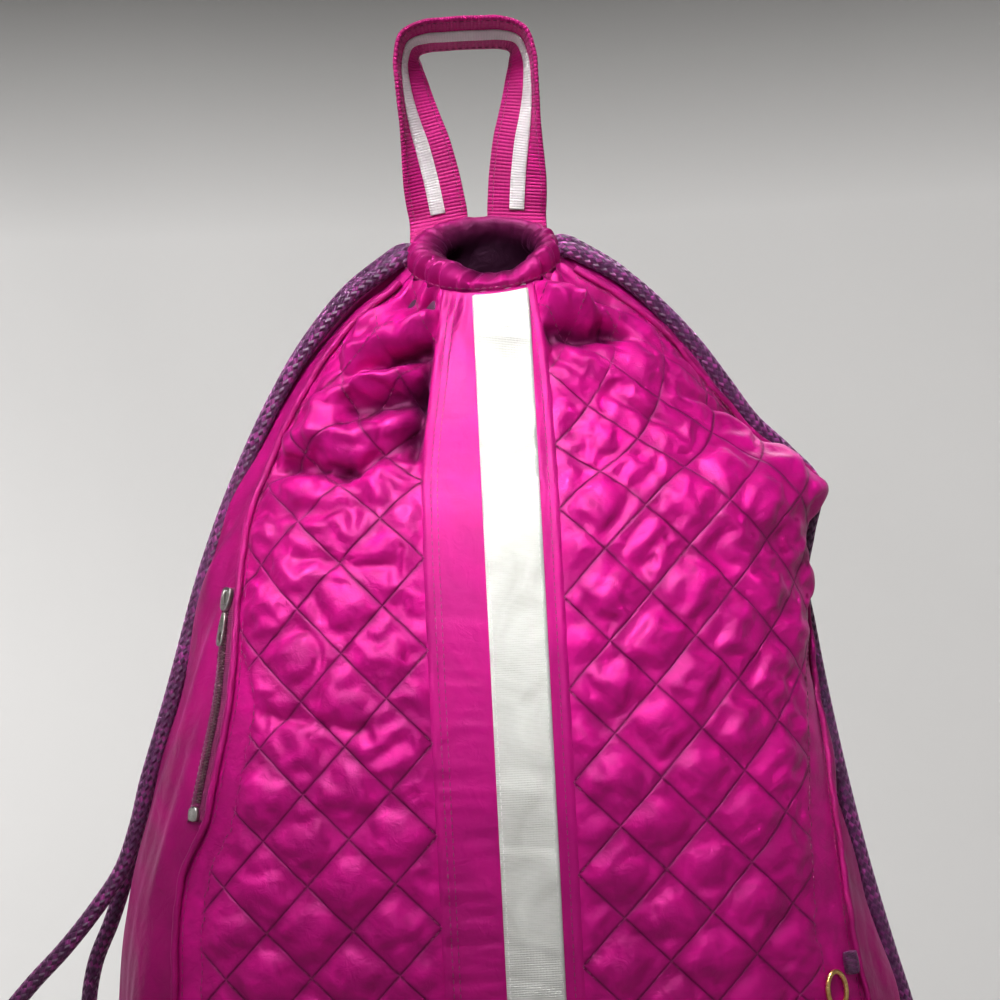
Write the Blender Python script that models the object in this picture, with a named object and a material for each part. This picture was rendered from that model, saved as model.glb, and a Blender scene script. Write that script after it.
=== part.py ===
import math

import bmesh
import bpy
import numpy as np
from mathutils import Matrix, Vector

for old in list(bpy.data.objects):
    bpy.data.objects.remove(old, do_unlink=True)

# Overall sizes of the bag, in metres. The origin is where the hook bears under the handle loop.
BAG_WIDTH = 0.357
BAG_DEPTH = 0.136
BODY_HEIGHT = 0.408
RIM_BELOW_HOOK = 0.104
BODY_CENTRE = 0.0015
BASE_THICK = 0.004

# Cloth, padding and quilting.
CLOTH_WALL = 0.0022
QUILT_SIDE = 0.0267
PUFF = 0.0070
SEAM_GAP = 0.0003

SIDE_RISE = 0.0022
BACK_PUFF = 0.0050
BACK_YOKE = 0.040

# Centre band and its ribbon.
RIBBON_WIDTH = 0.0250
RIBBON_THICK = 0.0008
RIBBON_SHIFT = 0.0094
LEFT_STRIP = 0.0259
RIGHT_STRIP = 0.0076

# Mouth and drawstring channel.
MOUTH_WIDTH = 0.039
MOUTH_DEPTH = 0.029
MOUTH_SHIFT = 0.0056
COLLAR_HEIGHT = 0.0105
COLLAR_RUFFLE = 0.0011
COLLAR_GATHERS = 18
GATHER_HEIGHT = 0.0026
GATHER_PITCH = 0.0085

# Webbing handle.
WEBBING_WIDTH = 0.0257
WEBBING_THICK = 0.0018
STRIPE_WIDTH = 0.0073
STRIPE_THICK = 0.0006
LOOP_WIDTH = 0.0555
LOOP_LEAN = 0.0024
LEG_DROP = 0.080
LEG_SEWN = 0.020

# Cords, piping, zip and small pieces.
CORD_THICK = 0.0075
PIPING_THICK = 0.0032
PIPING_OFF = 0.0008
ZIP_LENGTH = 0.100
ZIP_CLEAR = 0.0006
ZIP_MARGIN = 0.018
ZIP_TAPE_WIDTH = 0.0090
ZIP_TAPE_THICK = 0.0009
ZIP_TEETH_WIDTH = 0.0040
ZIP_TEETH_THICK = 0.0011
SLIDER_LENGTH = 0.0105
SLIDER_WIDTH = 0.0072
SLIDER_THICK = 0.0034
PULL_LENGTH = 0.0150
PULL_WIDTH = 0.0046
PULL_THICK = 0.0013
STOP_LENGTH = 0.0065
STOP_WIDTH = 0.0052
TAB_WIDTH = 0.0220
TAB_HEIGHT = 0.0180
TAB_THICK = 0.0090
TAB_OFF = 0.0009
TAB_ANGLE = 94.0
WHIPPING_LENGTH = 0.0100
WHIPPING_THICK = 0.0070
LINK_WIDTH = 0.0120
LINK_LENGTH = 0.0180
LINK_WIRE = 0.0022
LINK_OFF = 0.0016

# Body sections from the rim down. drop is a share of BODY_HEIGHT, left and right are shares of
# BAG_WIDTH, front and back of BAG_DEPTH, ahead moves the section forward in shares of BAG_DEPTH,
# tilt leans it forward in degrees and square is the exponent of its outline.
SECTIONS = [
    ("drop", "left", "right", "front", "back", "ahead", "tilt", "square"),
    (0.000, 0.087, 0.102, 0.184, 0.169, 0.096, 38.0, 2.00),
    (0.022, 0.114, 0.137, 0.206, 0.184, 0.094, 32.0, 2.00),
    (0.046, 0.155, 0.178, 0.230, 0.206, 0.086, 26.0, 2.05),
    (0.088, 0.200, 0.230, 0.268, 0.243, 0.064, 18.0, 2.10),
    (0.150, 0.250, 0.282, 0.324, 0.287, 0.046, 10.0, 2.20),
    (0.211, 0.287, 0.340, 0.382, 0.331, 0.026, 5.0, 2.30),
    (0.243, 0.306, 0.396, 0.419, 0.353, 0.014, 2.5, 2.35),
    (0.268, 0.319, 0.421, 0.449, 0.368, 0.008, 1.5, 2.40),
    (0.296, 0.332, 0.405, 0.471, 0.382, 0.004, 0.8, 2.45),
    (0.333, 0.349, 0.392, 0.493, 0.390, 0.000, 0.0, 2.50),
    (0.441, 0.391, 0.392, 0.544, 0.404, -0.010, 0.0, 2.60),
    (0.578, 0.443, 0.411, 0.574, 0.419, -0.015, 0.0, 2.70),
    (0.725, 0.486, 0.445, 0.574, 0.426, -0.015, 0.0, 2.80),
    (0.836, 0.498, 0.476, 0.566, 0.426, -0.015, 0.0, 2.85),
    (0.946, 0.499, 0.494, 0.551, 0.426, -0.015, 0.0, 2.90),
    (1.000, 0.474, 0.470, 0.500, 0.382, -0.015, 0.0, 2.90),
]

# Seams around the body, in degrees from the front centre, and how much of the plain strips shows.
SEAMS = [
    ("drop", "piping_left", "piping_right", "back_left", "back_right", "strip_left", "strip_right"),
    (0.00, 72.0, 80.0, 122.0, 122.0, 0.50, 0.40),
    (0.10, 70.0, 82.0, 124.0, 126.0, 0.72, 0.85),
    (0.25, 66.0, 97.0, 127.0, 133.0, 0.98, 1.00),
    (0.36, 56.0, 93.0, 129.0, 131.0, 1.00, 1.00),
    (0.48, 49.0, 84.0, 130.0, 130.0, 1.00, 1.00),
    (0.58, 48.0, 75.0, 130.0, 130.0, 1.00, 1.00),
    (0.65, 52.0, 69.0, 130.0, 130.0, 1.00, 1.00),
    (0.78, 50.0, 61.0, 130.0, 130.0, 1.00, 1.00),
    (1.00, 50.0, 58.0, 130.0, 130.0, 1.00, 1.00),
]

# Folds on the front. across runs from the band to the piping, down from the rim to the base,
# half_width is a share of QUILT_SIDE and rise is a share of PUFF, below nothing for a crease.
FOLDS = [
    ("panel", "across_0", "down_0", "across_1", "down_1", "half_width", "rise"),
    ("right", 0.02, 0.030, 0.55, 0.040, 0.34, 0.80),
    ("right", 0.00, 0.075, 0.62, 0.085, 0.26, -1.10),
    ("right", 0.05, 0.120, 0.70, 0.130, 0.40, 0.35),
    ("left", 0.10, 0.020, 0.75, 0.030, 0.28, -0.80),
    ("left", 0.05, 0.040, 0.80, 0.105, 0.30, 0.90),
    ("left", 0.00, 0.085, 0.45, 0.110, 0.22, -1.00),
    ("left", 0.20, 0.115, 0.85, 0.150, 0.30, 0.80),
    ("left", 0.00, 0.140, 0.62, 0.160, 0.30, -1.10),
    ("left", 0.02, 0.100, 0.03, 0.230, 0.30, -1.20),
    ("left", 0.60, 0.165, 0.90, 0.215, 0.30, 0.60),
    ("left", 0.40, 0.235, 0.95, 0.232, 0.22, -0.80),
]

# Handle from the hook down one leg. run is a share of the leg, fall of LEG_DROP, out of half of
# LOOP_WIDTH and behind of LOOP_WIDTH, and the three angles turn the front edge, the stripe and the
# back edge of the webbing, where 90 is edge on to the front and 180 shows its inner face.
LEG = [
    ("run", "fall", "out", "behind", "front_edge", "stripe", "back_edge"),
    (0.00, 0.000, 0.00, 0.000, 112.0, 116.0, 108.0),
    (0.16, 0.004, 0.58, 0.000, 110.0, 114.0, 110.0),
    (0.24, 0.030, 0.86, 0.002, 106.0, 110.0, 116.0),
    (0.31, 0.100, 0.99, 0.005, 102.0, 106.0, 132.0),
    (0.42, 0.260, 1.00, 0.020, 98.0, 116.0, 156.0),
    (0.54, 0.430, 0.94, 0.045, 102.0, 134.0, 170.0),
    (0.68, 0.620, 0.82, 0.080, 122.0, 165.0, 176.0),
    (0.84, 0.830, 0.71, 0.120, 158.0, 176.0, 180.0),
    (1.00, 1.000, 0.65, 0.160, 180.0, 180.0, 180.0),
]
# The drop on the back panel where each leg's sewn end begins.
SEWN_START = 0.004

# The zip starts at this drop, and the whipping and the link hang at these.
ZIP_DROP = 0.345
WHIPPING_DROP = 0.775
WHIPPING_AWAY = 0.0072
LINK_DROP = 0.800
LINK_AWAY = 0.0172
TAB_DROP = 0.925

# Cord routes. Points on the bag give drop, degrees from the front and the distance off the cloth
# in cord diameters. Free points give x, y and z as shares of BAG_WIDTH, BAG_DEPTH and BODY_HEIGHT.
CORD_ROUTES = {
    "cord_left_front": [
        ("bag", 0.012, -90.0, 0.80),
        ("bag", 0.05, -88.0, 0.90),
        ("bag", 0.12, -86.0, 0.90),
        ("bag", 0.22, -86.0, 0.84),
        ("bag", 0.33, -86.0, 0.76),
        ("bag", 0.45, -86.0, 0.66),
        ("bag", 0.56, -87.0, 0.72),
        ("free", -0.485, 0.00, 0.650),
        ("free", -0.556, -0.02, 0.730),
        ("free", -0.634, -0.03, 0.800),
        ("free", -0.678, -0.02, 0.862),
        ("free", -0.684, 0.00, 0.915),
        ("free", -0.655, 0.02, 0.945),
        ("free", -0.605, 0.04, 0.940),
        ("tab_left", 0.45, 3.00, 0.00),
        ("tab_left", 0.45, 1.00, 0.00),
    ],
    "cord_left_back": [
        ("bag", 0.012, -106.0, 0.85),
        ("bag", 0.05, -101.0, 0.95),
        ("bag", 0.12, -97.0, 0.95),
        ("bag", 0.22, -96.0, 0.88),
        ("bag", 0.33, -95.0, 0.82),
        ("bag", 0.45, -94.0, 0.80),
        ("bag", 0.56, -94.0, 0.84),
        ("free", -0.498, 0.10, 0.690),
        ("free", -0.534, 0.12, 0.760),
        ("free", -0.547, 0.12, 0.820),
        ("free", -0.535, 0.11, 0.880),
        ("tab_left", -0.45, 0.00, 2.00),
        ("tab_left", -0.45, 0.00, 1.00),
    ],
    "cord_right_front": [
        ("bag", 0.012, 92.0, 0.84),
        ("bag", 0.05, 92.0, 0.95),
        ("bag", 0.12, 94.0, 0.95),
        ("bag", 0.20, 99.0, 0.90),
        ("bag", 0.27, 106.0, 0.85),
        ("bag", 0.35, 104.0, 0.75),
        ("bag", 0.44, 98.0, 0.75),
        ("bag", 0.56, 92.0, 0.75),
        ("bag", 0.68, 90.0, 0.72),
        ("bag", 0.78, 90.0, 0.72),
        ("tab_right", 0.45, 0.00, 2.00),
        ("tab_right", 0.45, 0.00, 1.00),
    ],
    "cord_right_back": [
        ("bag", 0.012, 108.0, 0.84),
        ("bag", 0.05, 106.0, 0.95),
        ("bag", 0.12, 106.0, 0.92),
        ("bag", 0.20, 110.0, 0.90),
        ("bag", 0.27, 117.0, 0.75),
        ("bag", 0.35, 114.0, 0.72),
        ("bag", 0.44, 108.0, 0.72),
        ("bag", 0.56, 102.0, 0.72),
        ("bag", 0.68, 99.0, 0.70),
        ("bag", 0.78, 97.0, 0.70),
        ("tab_right", -0.45, 0.00, 2.00),
        ("tab_right", -0.45, 0.00, 1.00),
    ],
}

COLOURS = {
    "quilted": ((0.62, 0.002, 0.24, 1.0), 0.34, 0.0),
    "plain": ((0.52, 0.002, 0.20, 1.0), 0.38, 0.0),
    "ribbon": ((0.80, 0.80, 0.77, 1.0), 0.70, 0.0),
    "webbing": ((0.45, 0.004, 0.16, 1.0), 0.65, 0.0),
    "cord": ((0.10, 0.010, 0.10, 1.0), 0.45, 0.0),
    "tape": ((0.16, 0.004, 0.07, 1.0), 0.70, 0.0),
    "metal": ((0.55, 0.52, 0.50, 1.0), 0.25, 1.0),
    "gold": ((0.80, 0.52, 0.20, 1.0), 0.25, 1.0),
}


def column(table, name):
    at = table[0].index(name)
    return np.array([row[at] for row in table[1:]], float)


def smooth_read(table, key, name, x):
    """Reads a column between its rows with a curve that never overshoots them."""
    xs, ys = column(table, key), column(table, name)
    h, d = np.diff(xs), np.diff(ys) / np.diff(xs)
    m = np.zeros(len(xs))
    m[0], m[-1] = d[0], d[-1]
    for i in range(1, len(xs) - 1):
        if d[i - 1] * d[i] > 0:
            w0, w1 = 2 * h[i] + h[i - 1], h[i] + 2 * h[i - 1]
            m[i] = (w0 + w1) / (w0 / d[i - 1] + w1 / d[i])
    x = np.clip(x, xs[0], xs[-1])
    i = np.clip(np.searchsorted(xs, x, side="right") - 1, 0, len(xs) - 2)
    t = (x - xs[i]) / h[i]
    return (
        (2 * t**3 - 3 * t**2 + 1) * ys[i]
        + (t**3 - 2 * t**2 + t) * h[i] * m[i]
        + (3 * t**2 - 2 * t**3) * ys[i + 1]
        + (t**3 - t**2) * h[i] * m[i + 1]
    )


def outline(drop, degrees):
    """Points of the body's outline at one drop, for angles from the front centre, right positive."""
    read = {n: float(smooth_read(SECTIONS, "drop", n, drop)) for n in SECTIONS[0][1:]}
    a = np.radians(np.asarray(degrees, float))
    power = 2 / read["square"]
    x, d = np.abs(np.sin(a)) ** power, np.abs(np.cos(a)) ** power
    x = np.where(np.sin(a) < 0, -read["left"] * x, read["right"] * x) * BAG_WIDTH
    d = np.where(np.cos(a) > 0, -read["front"] * d, read["back"] * d) * BAG_DEPTH
    tilt = math.radians(read["tilt"])
    y = d * math.cos(tilt) - read["ahead"] * BAG_DEPTH
    z = d * math.sin(tilt) - RIM_BELOW_HOOK - drop * BODY_HEIGHT
    return np.stack([BODY_CENTRE + x, y, z], axis=-1)


TURN = np.linspace(-180.0, 180.0, 721)
DROPS = np.linspace(0.0, 1.0, 401)


def fall_lines():
    """Share of the cloth's length down the body at each drop, between its front and its side."""
    front = np.array([outline(d, [0.0])[0] for d in DROPS])
    side = np.array([outline(d, [90.0])[0] for d in DROPS])
    run = sum(np.linalg.norm(np.diff(line, axis=0), axis=1) for line in (front, side)) / 2
    total = np.concatenate([[0.0], np.cumsum(run)])
    return total / total[-1], float(total[-1])


DOWN_SHARE, CLOTH_LENGTH = fall_lines()


def drop_of(down):
    return float(np.interp(down, DOWN_SHARE, DROPS))


def around(drop):
    """The outline at one drop with its arc length from the front centre."""
    points = outline(drop, TURN)
    run = np.concatenate([[0.0], np.cumsum(np.linalg.norm(np.diff(points, axis=0), axis=1))])
    return points, run - np.interp(0.0, TURN, run)


def seam_lengths(drop):
    """Arc lengths of the seams at one drop, left to right from the back's left edge."""
    _, run = around(drop)
    read = {n: float(smooth_read(SEAMS, "drop", n, drop)) for n in SEAMS[0][1:]}
    angle = {n: np.interp(s * read[n], TURN, run) for n, s in SIDES.items()}
    first = RIBBON_SHIFT - RIBBON_WIDTH / 2
    last = RIBBON_SHIFT + RIBBON_WIDTH / 2
    return {
        "back_left": float(angle["back_left"]),
        "piping_left": float(angle["piping_left"]),
        "band_left": first - LEFT_STRIP * read["strip_left"],
        "ribbon_left": first,
        "ribbon_right": last,
        "band_right": last + RIGHT_STRIP * read["strip_right"],
        "piping_right": float(angle["piping_right"]),
        "back_right": float(angle["back_right"]),
    }


SIDES = {"back_left": -1, "piping_left": -1, "piping_right": 1, "back_right": 1}


def on_body(down, lengths):
    """Points and outward normals on the body for arc lengths at one share down the cloth."""
    step = 0.004
    rows = []
    for share in (max(down - step, 0.0), down, min(down + step, 1.0)):
        points, run = around(drop_of(share))
        total = run[-1] - run[0]
        here = (np.asarray(lengths, float) - run[0]) % total + run[0]
        rows.append((points, run, here))

    def read(row, shift=0.0):
        points, run, here = row
        total = run[-1] - run[0]
        at = (here + shift - run[0]) % total + run[0]
        return np.stack([np.interp(at, run, points[:, k]) for k in range(3)], axis=-1)

    middle = read(rows[1])
    across = read(rows[1], 0.002) - read(rows[1], -0.002)
    # The same angle on the rows above and below gives the direction down the cloth.
    share_run = rows[1][1]
    degrees = np.interp(rows[1][2], share_run, TURN)
    upper = np.stack([np.interp(degrees, TURN, rows[0][0][:, k]) for k in range(3)], axis=-1)
    lower = np.stack([np.interp(degrees, TURN, rows[2][0][:, k]) for k in range(3)], axis=-1)
    normal = np.cross(lower - upper, across)
    normal /= np.linalg.norm(normal, axis=1)[:, None]
    return middle, normal


def on_bag(drop, degrees, off):
    """One point at a distance off the body, from its drop and its angle."""
    _, run = around(drop)
    down = float(np.interp(drop, DROPS, DOWN_SHARE))
    degrees = (degrees + 180.0) % 360.0 - 180.0
    middle, normal = on_body(down, [float(np.interp(degrees, TURN, run))])
    return middle[0] + off * normal[0]


def material(name):
    made = bpy.data.materials.get(name)
    if made is None:
        colour, rough, metal = COLOURS[name]
        made = bpy.data.materials.new(name)
        made.use_nodes = True
        shader = made.node_tree.nodes["Principled BSDF"]
        shader.inputs["Base Color"].default_value = colour
        shader.inputs["Roughness"].default_value = rough
        shader.inputs["Metallic"].default_value = metal
        made.diffuse_color = colour
    return made


def finish(name, data, look):
    made = bpy.data.objects.new(name, data)
    bpy.context.scene.collection.objects.link(made)
    data.materials.append(material(look))
    return made


def solid(name, bm, look, sharp=50.0):
    """Turns a closed bmesh into an object with its faces pointing out."""
    bmesh.ops.recalc_face_normals(bm, faces=bm.faces)
    if bm.calc_volume(signed=True) < 0:
        bmesh.ops.reverse_faces(bm, faces=bm.faces)
    mesh = bpy.data.meshes.new(name)
    bm.to_mesh(mesh)
    bm.free()
    mesh.shade_smooth()
    mesh.set_sharp_from_angle(angle=math.radians(sharp))
    return finish(name, mesh, look)


def pillow(a, b):
    """Height of the padding between stitch lines that cross at every other half diagonal."""
    p, q = (a + b) / 2, (a - b) / 2
    return (np.abs(np.sin(math.pi * p)) * np.abs(np.sin(math.pi * q))) ** 0.6


def fold_rise(panel, across, down, width, length):
    """Sum of the folds at one point, as a share of PUFF. across and down are shares of the panel."""
    total = 0.0
    for name, a0, d0, a1, d1, half, rise in FOLDS[1:]:
        if name != panel:
            continue
        start, end = np.array([a0 * width, d0 * length]), np.array([a1 * width, d1 * length])
        here = np.array([across * width, down * length])
        along = end - start
        t = float(np.clip(np.dot(here - start, along) / np.dot(along, along), 0, 1))
        far = float(np.linalg.norm(here - start - t * along))
        total += rise * math.exp(-((far / (half * QUILT_SIDE)) ** 2))
    return total


def plane_of(row):
    """Centre, depth direction and upward direction of the first or last section's plane."""
    tilt = math.radians(float(column(SECTIONS, "tilt")[row]))
    ahead, drop = (float(column(SECTIONS, n)[row]) for n in ("ahead", "drop"))
    centre = np.array([BODY_CENTRE, -ahead * BAG_DEPTH, -RIM_BELOW_HOOK - drop * BODY_HEIGHT])
    depth = np.array([0.0, math.cos(tilt), math.sin(tilt)])
    return centre, depth, np.array([0.0, -math.sin(tilt), math.cos(tilt)])


HALF_DIAGONAL = QUILT_SIDE / math.sqrt(2)
DOWN_CELLS = 2 * round(CLOTH_LENGTH / HALF_DIAGONAL / 2)

def ease(x):
    x = min(max(x, 0.0), 1.0)
    return x * x * (3 - 2 * x)


def between(start, end, cols):
    """Evenly spaced columns from one seam to the next, with half of SEAM_GAP left at each."""

    def lengths(drop):
        seams = seam_lengths(drop)
        first, last = seams[start] + SEAM_GAP / 2, seams[end] - SEAM_GAP / 2
        if last < first:
            run = around(drop)[1]
            last += run[-1] - run[0]
        return np.linspace(first, last, cols + 1)

    return lengths


def band_columns(drop):
    """Columns of the centre band, which meet the ribbon's edges."""
    seams = seam_lengths(drop)
    first, last = seams["band_left"] + SEAM_GAP / 2, seams["band_right"] - SEAM_GAP / 2
    left = np.linspace(first, seams["ribbon_left"], 3)
    middle = np.linspace(seams["ribbon_left"], seams["ribbon_right"], 3)
    return np.concatenate([left, middle[1:], [last]])


def wall(lengths_at, raised, thick=CLOTH_WALL, fine=1, across_step=1, sink=0.0):
    """Outer and inner points of a panel, with fine rows in each half diagonal of the outer ones."""
    outer, inside, height = [], [], []
    rows = fine * DOWN_CELLS
    for j in range(rows + 1):
        down = j / rows
        lengths = lengths_at(drop_of(down))
        width = lengths[-1] - lengths[0]
        middle, normal = on_body(down, lengths)
        if j in (0, rows):
            up = plane_of(0 if j == 0 else -1)[2]
            normal = normal - np.outer(normal @ up, up)
            normal /= np.linalg.norm(normal, axis=1)[:, None]
        across = (lengths - lengths[0]) / width
        lift = np.array([raised(s, down, width) for s in across])
        height.append(lift)
        outer.append(middle + normal * (lift + sink)[:, None])
        inside.append(middle - normal * (thick - sink))
    outer, inside = np.array(outer), np.array(inside)
    if fine == 2:
        # The seams run straight between full rows, as their neighbours' do.
        for i in (0, -1):
            outer[1::2, i] = (outer[0:-1:2, i] + outer[2::2, i]) / 2
    return outer, inside[::fine, ::across_step], np.array(height)


def shell(name, parts, look):
    """A closed wall between an outer grid and an inner grid with the same or wider steps."""
    outer, inner, height = parts
    bm = bmesh.new()
    top = [[bm.verts.new(p) for p in row] for row in outer]
    low = [[bm.verts.new(p) for p in row] for row in inner]
    for j in range(len(top) - 1):
        for i in range(len(top[0]) - 1):
            a, b, c, d = top[j][i], top[j][i + 1], top[j + 1][i + 1], top[j + 1][i]
            if height[j, i] + height[j + 1, i + 1] <= height[j, i + 1] + height[j + 1, i] + 1e-9:
                bm.faces.new((a, c, b))
                bm.faces.new((a, d, c))
            else:
                bm.faces.new((a, d, b))
                bm.faces.new((b, d, c))
    for j in range(len(low) - 1):
        for i in range(len(low[0]) - 1):
            a, b, c, d = low[j][i], low[j][i + 1], low[j + 1][i + 1], low[j + 1][i]
            bm.faces.new((a, b, c))
            bm.faces.new((a, c, d))

    def edge(line_top, line_low):
        step = (len(line_top) - 1) // (len(line_low) - 1)
        for k in range(len(line_low) - 1):
            a, b = line_low[k], line_low[k + 1]
            fine = line_top[k * step : (k + 1) * step + 1]
            for m in range(step):
                bm.faces.new((a, fine[m], fine[m + 1]))
            bm.faces.new((a, fine[-1], b))

    edge(top[0], low[0])
    edge(top[-1], low[-1])
    edge([row[0] for row in top], [row[0] for row in low])
    edge([row[-1] for row in top], [row[-1] for row in low])
    return solid(name, bm, look)


def width_at(start, end, drop):
    lengths = between(start, end, 1)(drop)
    return float(lengths[-1] - lengths[0])


def front_lift(panel, cells, phase):
    """Lift of a quilted front panel. across runs from the band to the piping."""

    def raised(across, down, width):
        a, b = across * cells, down * DOWN_CELLS
        edge = ease(min(across, 1 - across) * width / (0.25 * QUILT_SIDE))
        ends = ease((min(down, 1 - down) * CLOTH_LENGTH - 0.1 * QUILT_SIDE) / (0.6 * QUILT_SIDE))
        calm = 0.45 + 0.55 * ease(down * CLOTH_LENGTH / (2.5 * QUILT_SIDE))
        loft = 1.0 - 0.35 * ease((down - 0.55) / 0.2)
        shoulder = 1 - ease((down - 0.40) / 0.15)
        margin = max(ease((cells - 1 - a) / 0.5), shoulder)
        puff = pillow(a, b + phase) * calm * loft * margin
        gather = math.cos(2 * math.pi * across * width / GATHER_PITCH) * GATHER_HEIGHT
        gather *= 1 - ease(down * CLOTH_LENGTH / (2.2 * QUILT_SIDE))
        folds = fold_rise(panel, across, down, width, CLOTH_LENGTH)
        lift = (PUFF * (puff + folds) + gather) * edge * ends
        return max(lift, -0.35 * CLOTH_WALL)

    return raised


def side_lift(waves, from_seam):
    """Lift of a plain side panel, flat beside the seam where the zip lies."""

    def raised(across, down, width):
        near = across if from_seam > 0 else 1 - across
        edge = ease((near * width - ZIP_MARGIN) / QUILT_SIDE)
        edge *= ease((1 - near) * width / (0.5 * QUILT_SIDE))
        ends = ease(min(down, 1 - down) * CLOTH_LENGTH / (0.3 * QUILT_SIDE))
        gather = math.cos(2 * math.pi * waves * across)
        gather *= 1 - ease(down * CLOTH_LENGTH / (3.0 * QUILT_SIDE))
        slack = 0.5 * math.sin(2 * math.pi * (1.7 * down + 0.8 * across))
        return max(SIDE_RISE * edge * ends * (gather + slack), -0.35 * CLOTH_WALL)

    return raised


def back_lift(cells):
    def raised(across, down, width):
        edge = ease(min(across, 1 - across) * width / (0.5 * QUILT_SIDE))
        ends = ease((1 - down) * CLOTH_LENGTH / (0.5 * QUILT_SIDE))
        yoke = ease((down * CLOTH_LENGTH - BACK_YOKE) / QUILT_SIDE)
        return BACK_PUFF * pillow(across * cells, down * DOWN_CELLS) * yoke * edge * ends

    return raised


def flat_lift(across, down, width):
    return 0.0


RIGHT_CELLS = round(width_at("band_right", "piping_right", 0.7) / HALF_DIAGONAL)
LEFT_CELLS = round(width_at("piping_left", "band_left", 0.7) / HALF_DIAGONAL)
BACK_CELLS = 2 * round(width_at("back_right", "back_left", 0.7) / HALF_DIAGONAL / 2)

right_lift = front_lift("right", RIGHT_CELLS, 0)
left_lift = front_lift("left", LEFT_CELLS, 0)


def left_from_piping(across, down, width):
    return left_lift(1 - across, down, width)


shell(
    "front_right_panel",
    wall(between("band_right", "piping_right", 2 * RIGHT_CELLS), right_lift, fine=2, across_step=2),
    "quilted",
)
shell(
    "front_left_panel",
    wall(between("piping_left", "band_left", 2 * LEFT_CELLS), left_from_piping, fine=2, across_step=2),
    "quilted",
)
shell("centre_band", wall(band_columns, flat_lift), "plain")
shell(
    "side_panel_right",
    wall(between("piping_right", "back_right", 6), side_lift(2, 1), across_step=2),
    "plain",
)
shell(
    "side_panel_left",
    wall(between("back_left", "piping_left", 8), side_lift(3, -1), across_step=2),
    "plain",
)
shell(
    "back_panel",
    wall(between("back_right", "back_left", BACK_CELLS), back_lift(BACK_CELLS), across_step=2),
    "quilted",
)


def ribbon_columns(drop):
    return band_columns(drop)[2:5]


shell(
    "white_ribbon",
    wall(ribbon_columns, flat_lift, thick=RIBBON_THICK, sink=RIBBON_THICK + SEAM_GAP),
    "ribbon",
)


def ring(name, rings, look, closed=True):
    """A solid through a list of closed loops of points, joined end to end or capped."""
    bm = bmesh.new()
    loops = [[bm.verts.new(p) for p in loop] for loop in rings]
    pairs = list(zip(loops, loops[1:], strict=False))
    if closed:
        pairs.append((loops[-1], loops[0]))
    for one, two in pairs:
        for i in range(len(one)):
            k = (i + 1) % len(one)
            bm.faces.new((one[i], one[k], two[k], two[i]))
    if not closed:
        for loop in (loops[0], loops[-1]):
            middle = bm.verts.new(np.mean([v.co for v in loop], axis=0))
            for i in range(len(loop)):
                bm.faces.new((loop[i], loop[(i + 1) % len(loop)], middle))
    bmesh.ops.triangulate(bm, faces=[f for f in bm.faces if len(f.verts) > 3])
    return solid(name, bm, look)


# Profile of the drawstring channel: share of the way from its outside to the mouth, then height.
COLLAR_PROFILE = [(0.0, 0.0), (-0.06, 0.45), (0.10, 0.9), (0.50, 1.0), (1.0, 0.6), (0.8, 0.0)]


def collar():
    centre, depth, up = plane_of(0)
    count = 4 * COLLAR_GATHERS
    angles = np.linspace(-180.0, 180.0, count, endpoint=False)
    outside = outline(0.0, angles)
    a = np.radians(angles)
    mouth = centre + np.outer(np.sin(a) * MOUTH_WIDTH / 2 + MOUTH_SHIFT, [1, 0, 0])
    mouth = mouth - np.outer(np.cos(a) * MOUTH_DEPTH / 2, depth)
    wave = np.where(np.arange(count) % 4 < 2, 1.0, -1.0)
    loops = []
    for share, rise in COLLAR_PROFILE:
        loop = outside + (mouth - outside) * share
        out = (outside - mouth) / np.linalg.norm(outside - mouth, axis=1)[:, None]
        loop = loop + out * (wave * COLLAR_RUFFLE * (rise if share < 0.5 else 0.6 * rise))[:, None]
        loops.append(loop + up * (SEAM_GAP + rise * COLLAR_HEIGHT))
    return ring("collar", loops, "quilted")


collar()


def base():
    angles = np.linspace(-180.0, 180.0, 48, endpoint=False)
    edge = outline(1.0, angles)
    middle = edge.mean(axis=0)
    loops = []
    for fall, inset in ((0.0, 0.0), (0.55, 0.0), (1.0, 0.5)):
        loop = middle + (edge - middle) * (1 - inset * BASE_THICK / (BAG_DEPTH / 2))
        loop[:, 2] = edge[:, 2] - SEAM_GAP - fall * BASE_THICK
        loops.append(loop)
    return ring("base_panel", loops, "plain", closed=False)


base()


SEWN_OFF = SEAM_GAP + 0.0009


def angle_at(drop, x):
    """Angle on the back of the body where the outline passes one x."""
    angles = np.linspace(90.0, 270.0, 181)
    return float(np.interp(-x, -outline(drop, angles)[:, 0], angles))


def strap_sections():
    """Sections of the handle from its left end to its right end: points and directions."""
    sections = []
    for side in (-1, 1):
        leg = []
        for run in np.linspace(0.0, 1.0, 13):
            read = {n: float(smooth_read(LEG, "run", n, run)) for n in LEG[0][1:]}
            x = side * read["out"] * LOOP_WIDTH / 2 + LOOP_LEAN * read["fall"]
            place = np.array([x, read["behind"] * LOOP_WIDTH, -read["fall"] * LEG_DROP])
            leg.append((place, [math.radians(read[n]) for n in ("front_edge", "stripe", "back_edge")]))
        sections.append(leg)
    left, right = sections
    return left[::-1] + right[1:]


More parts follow.
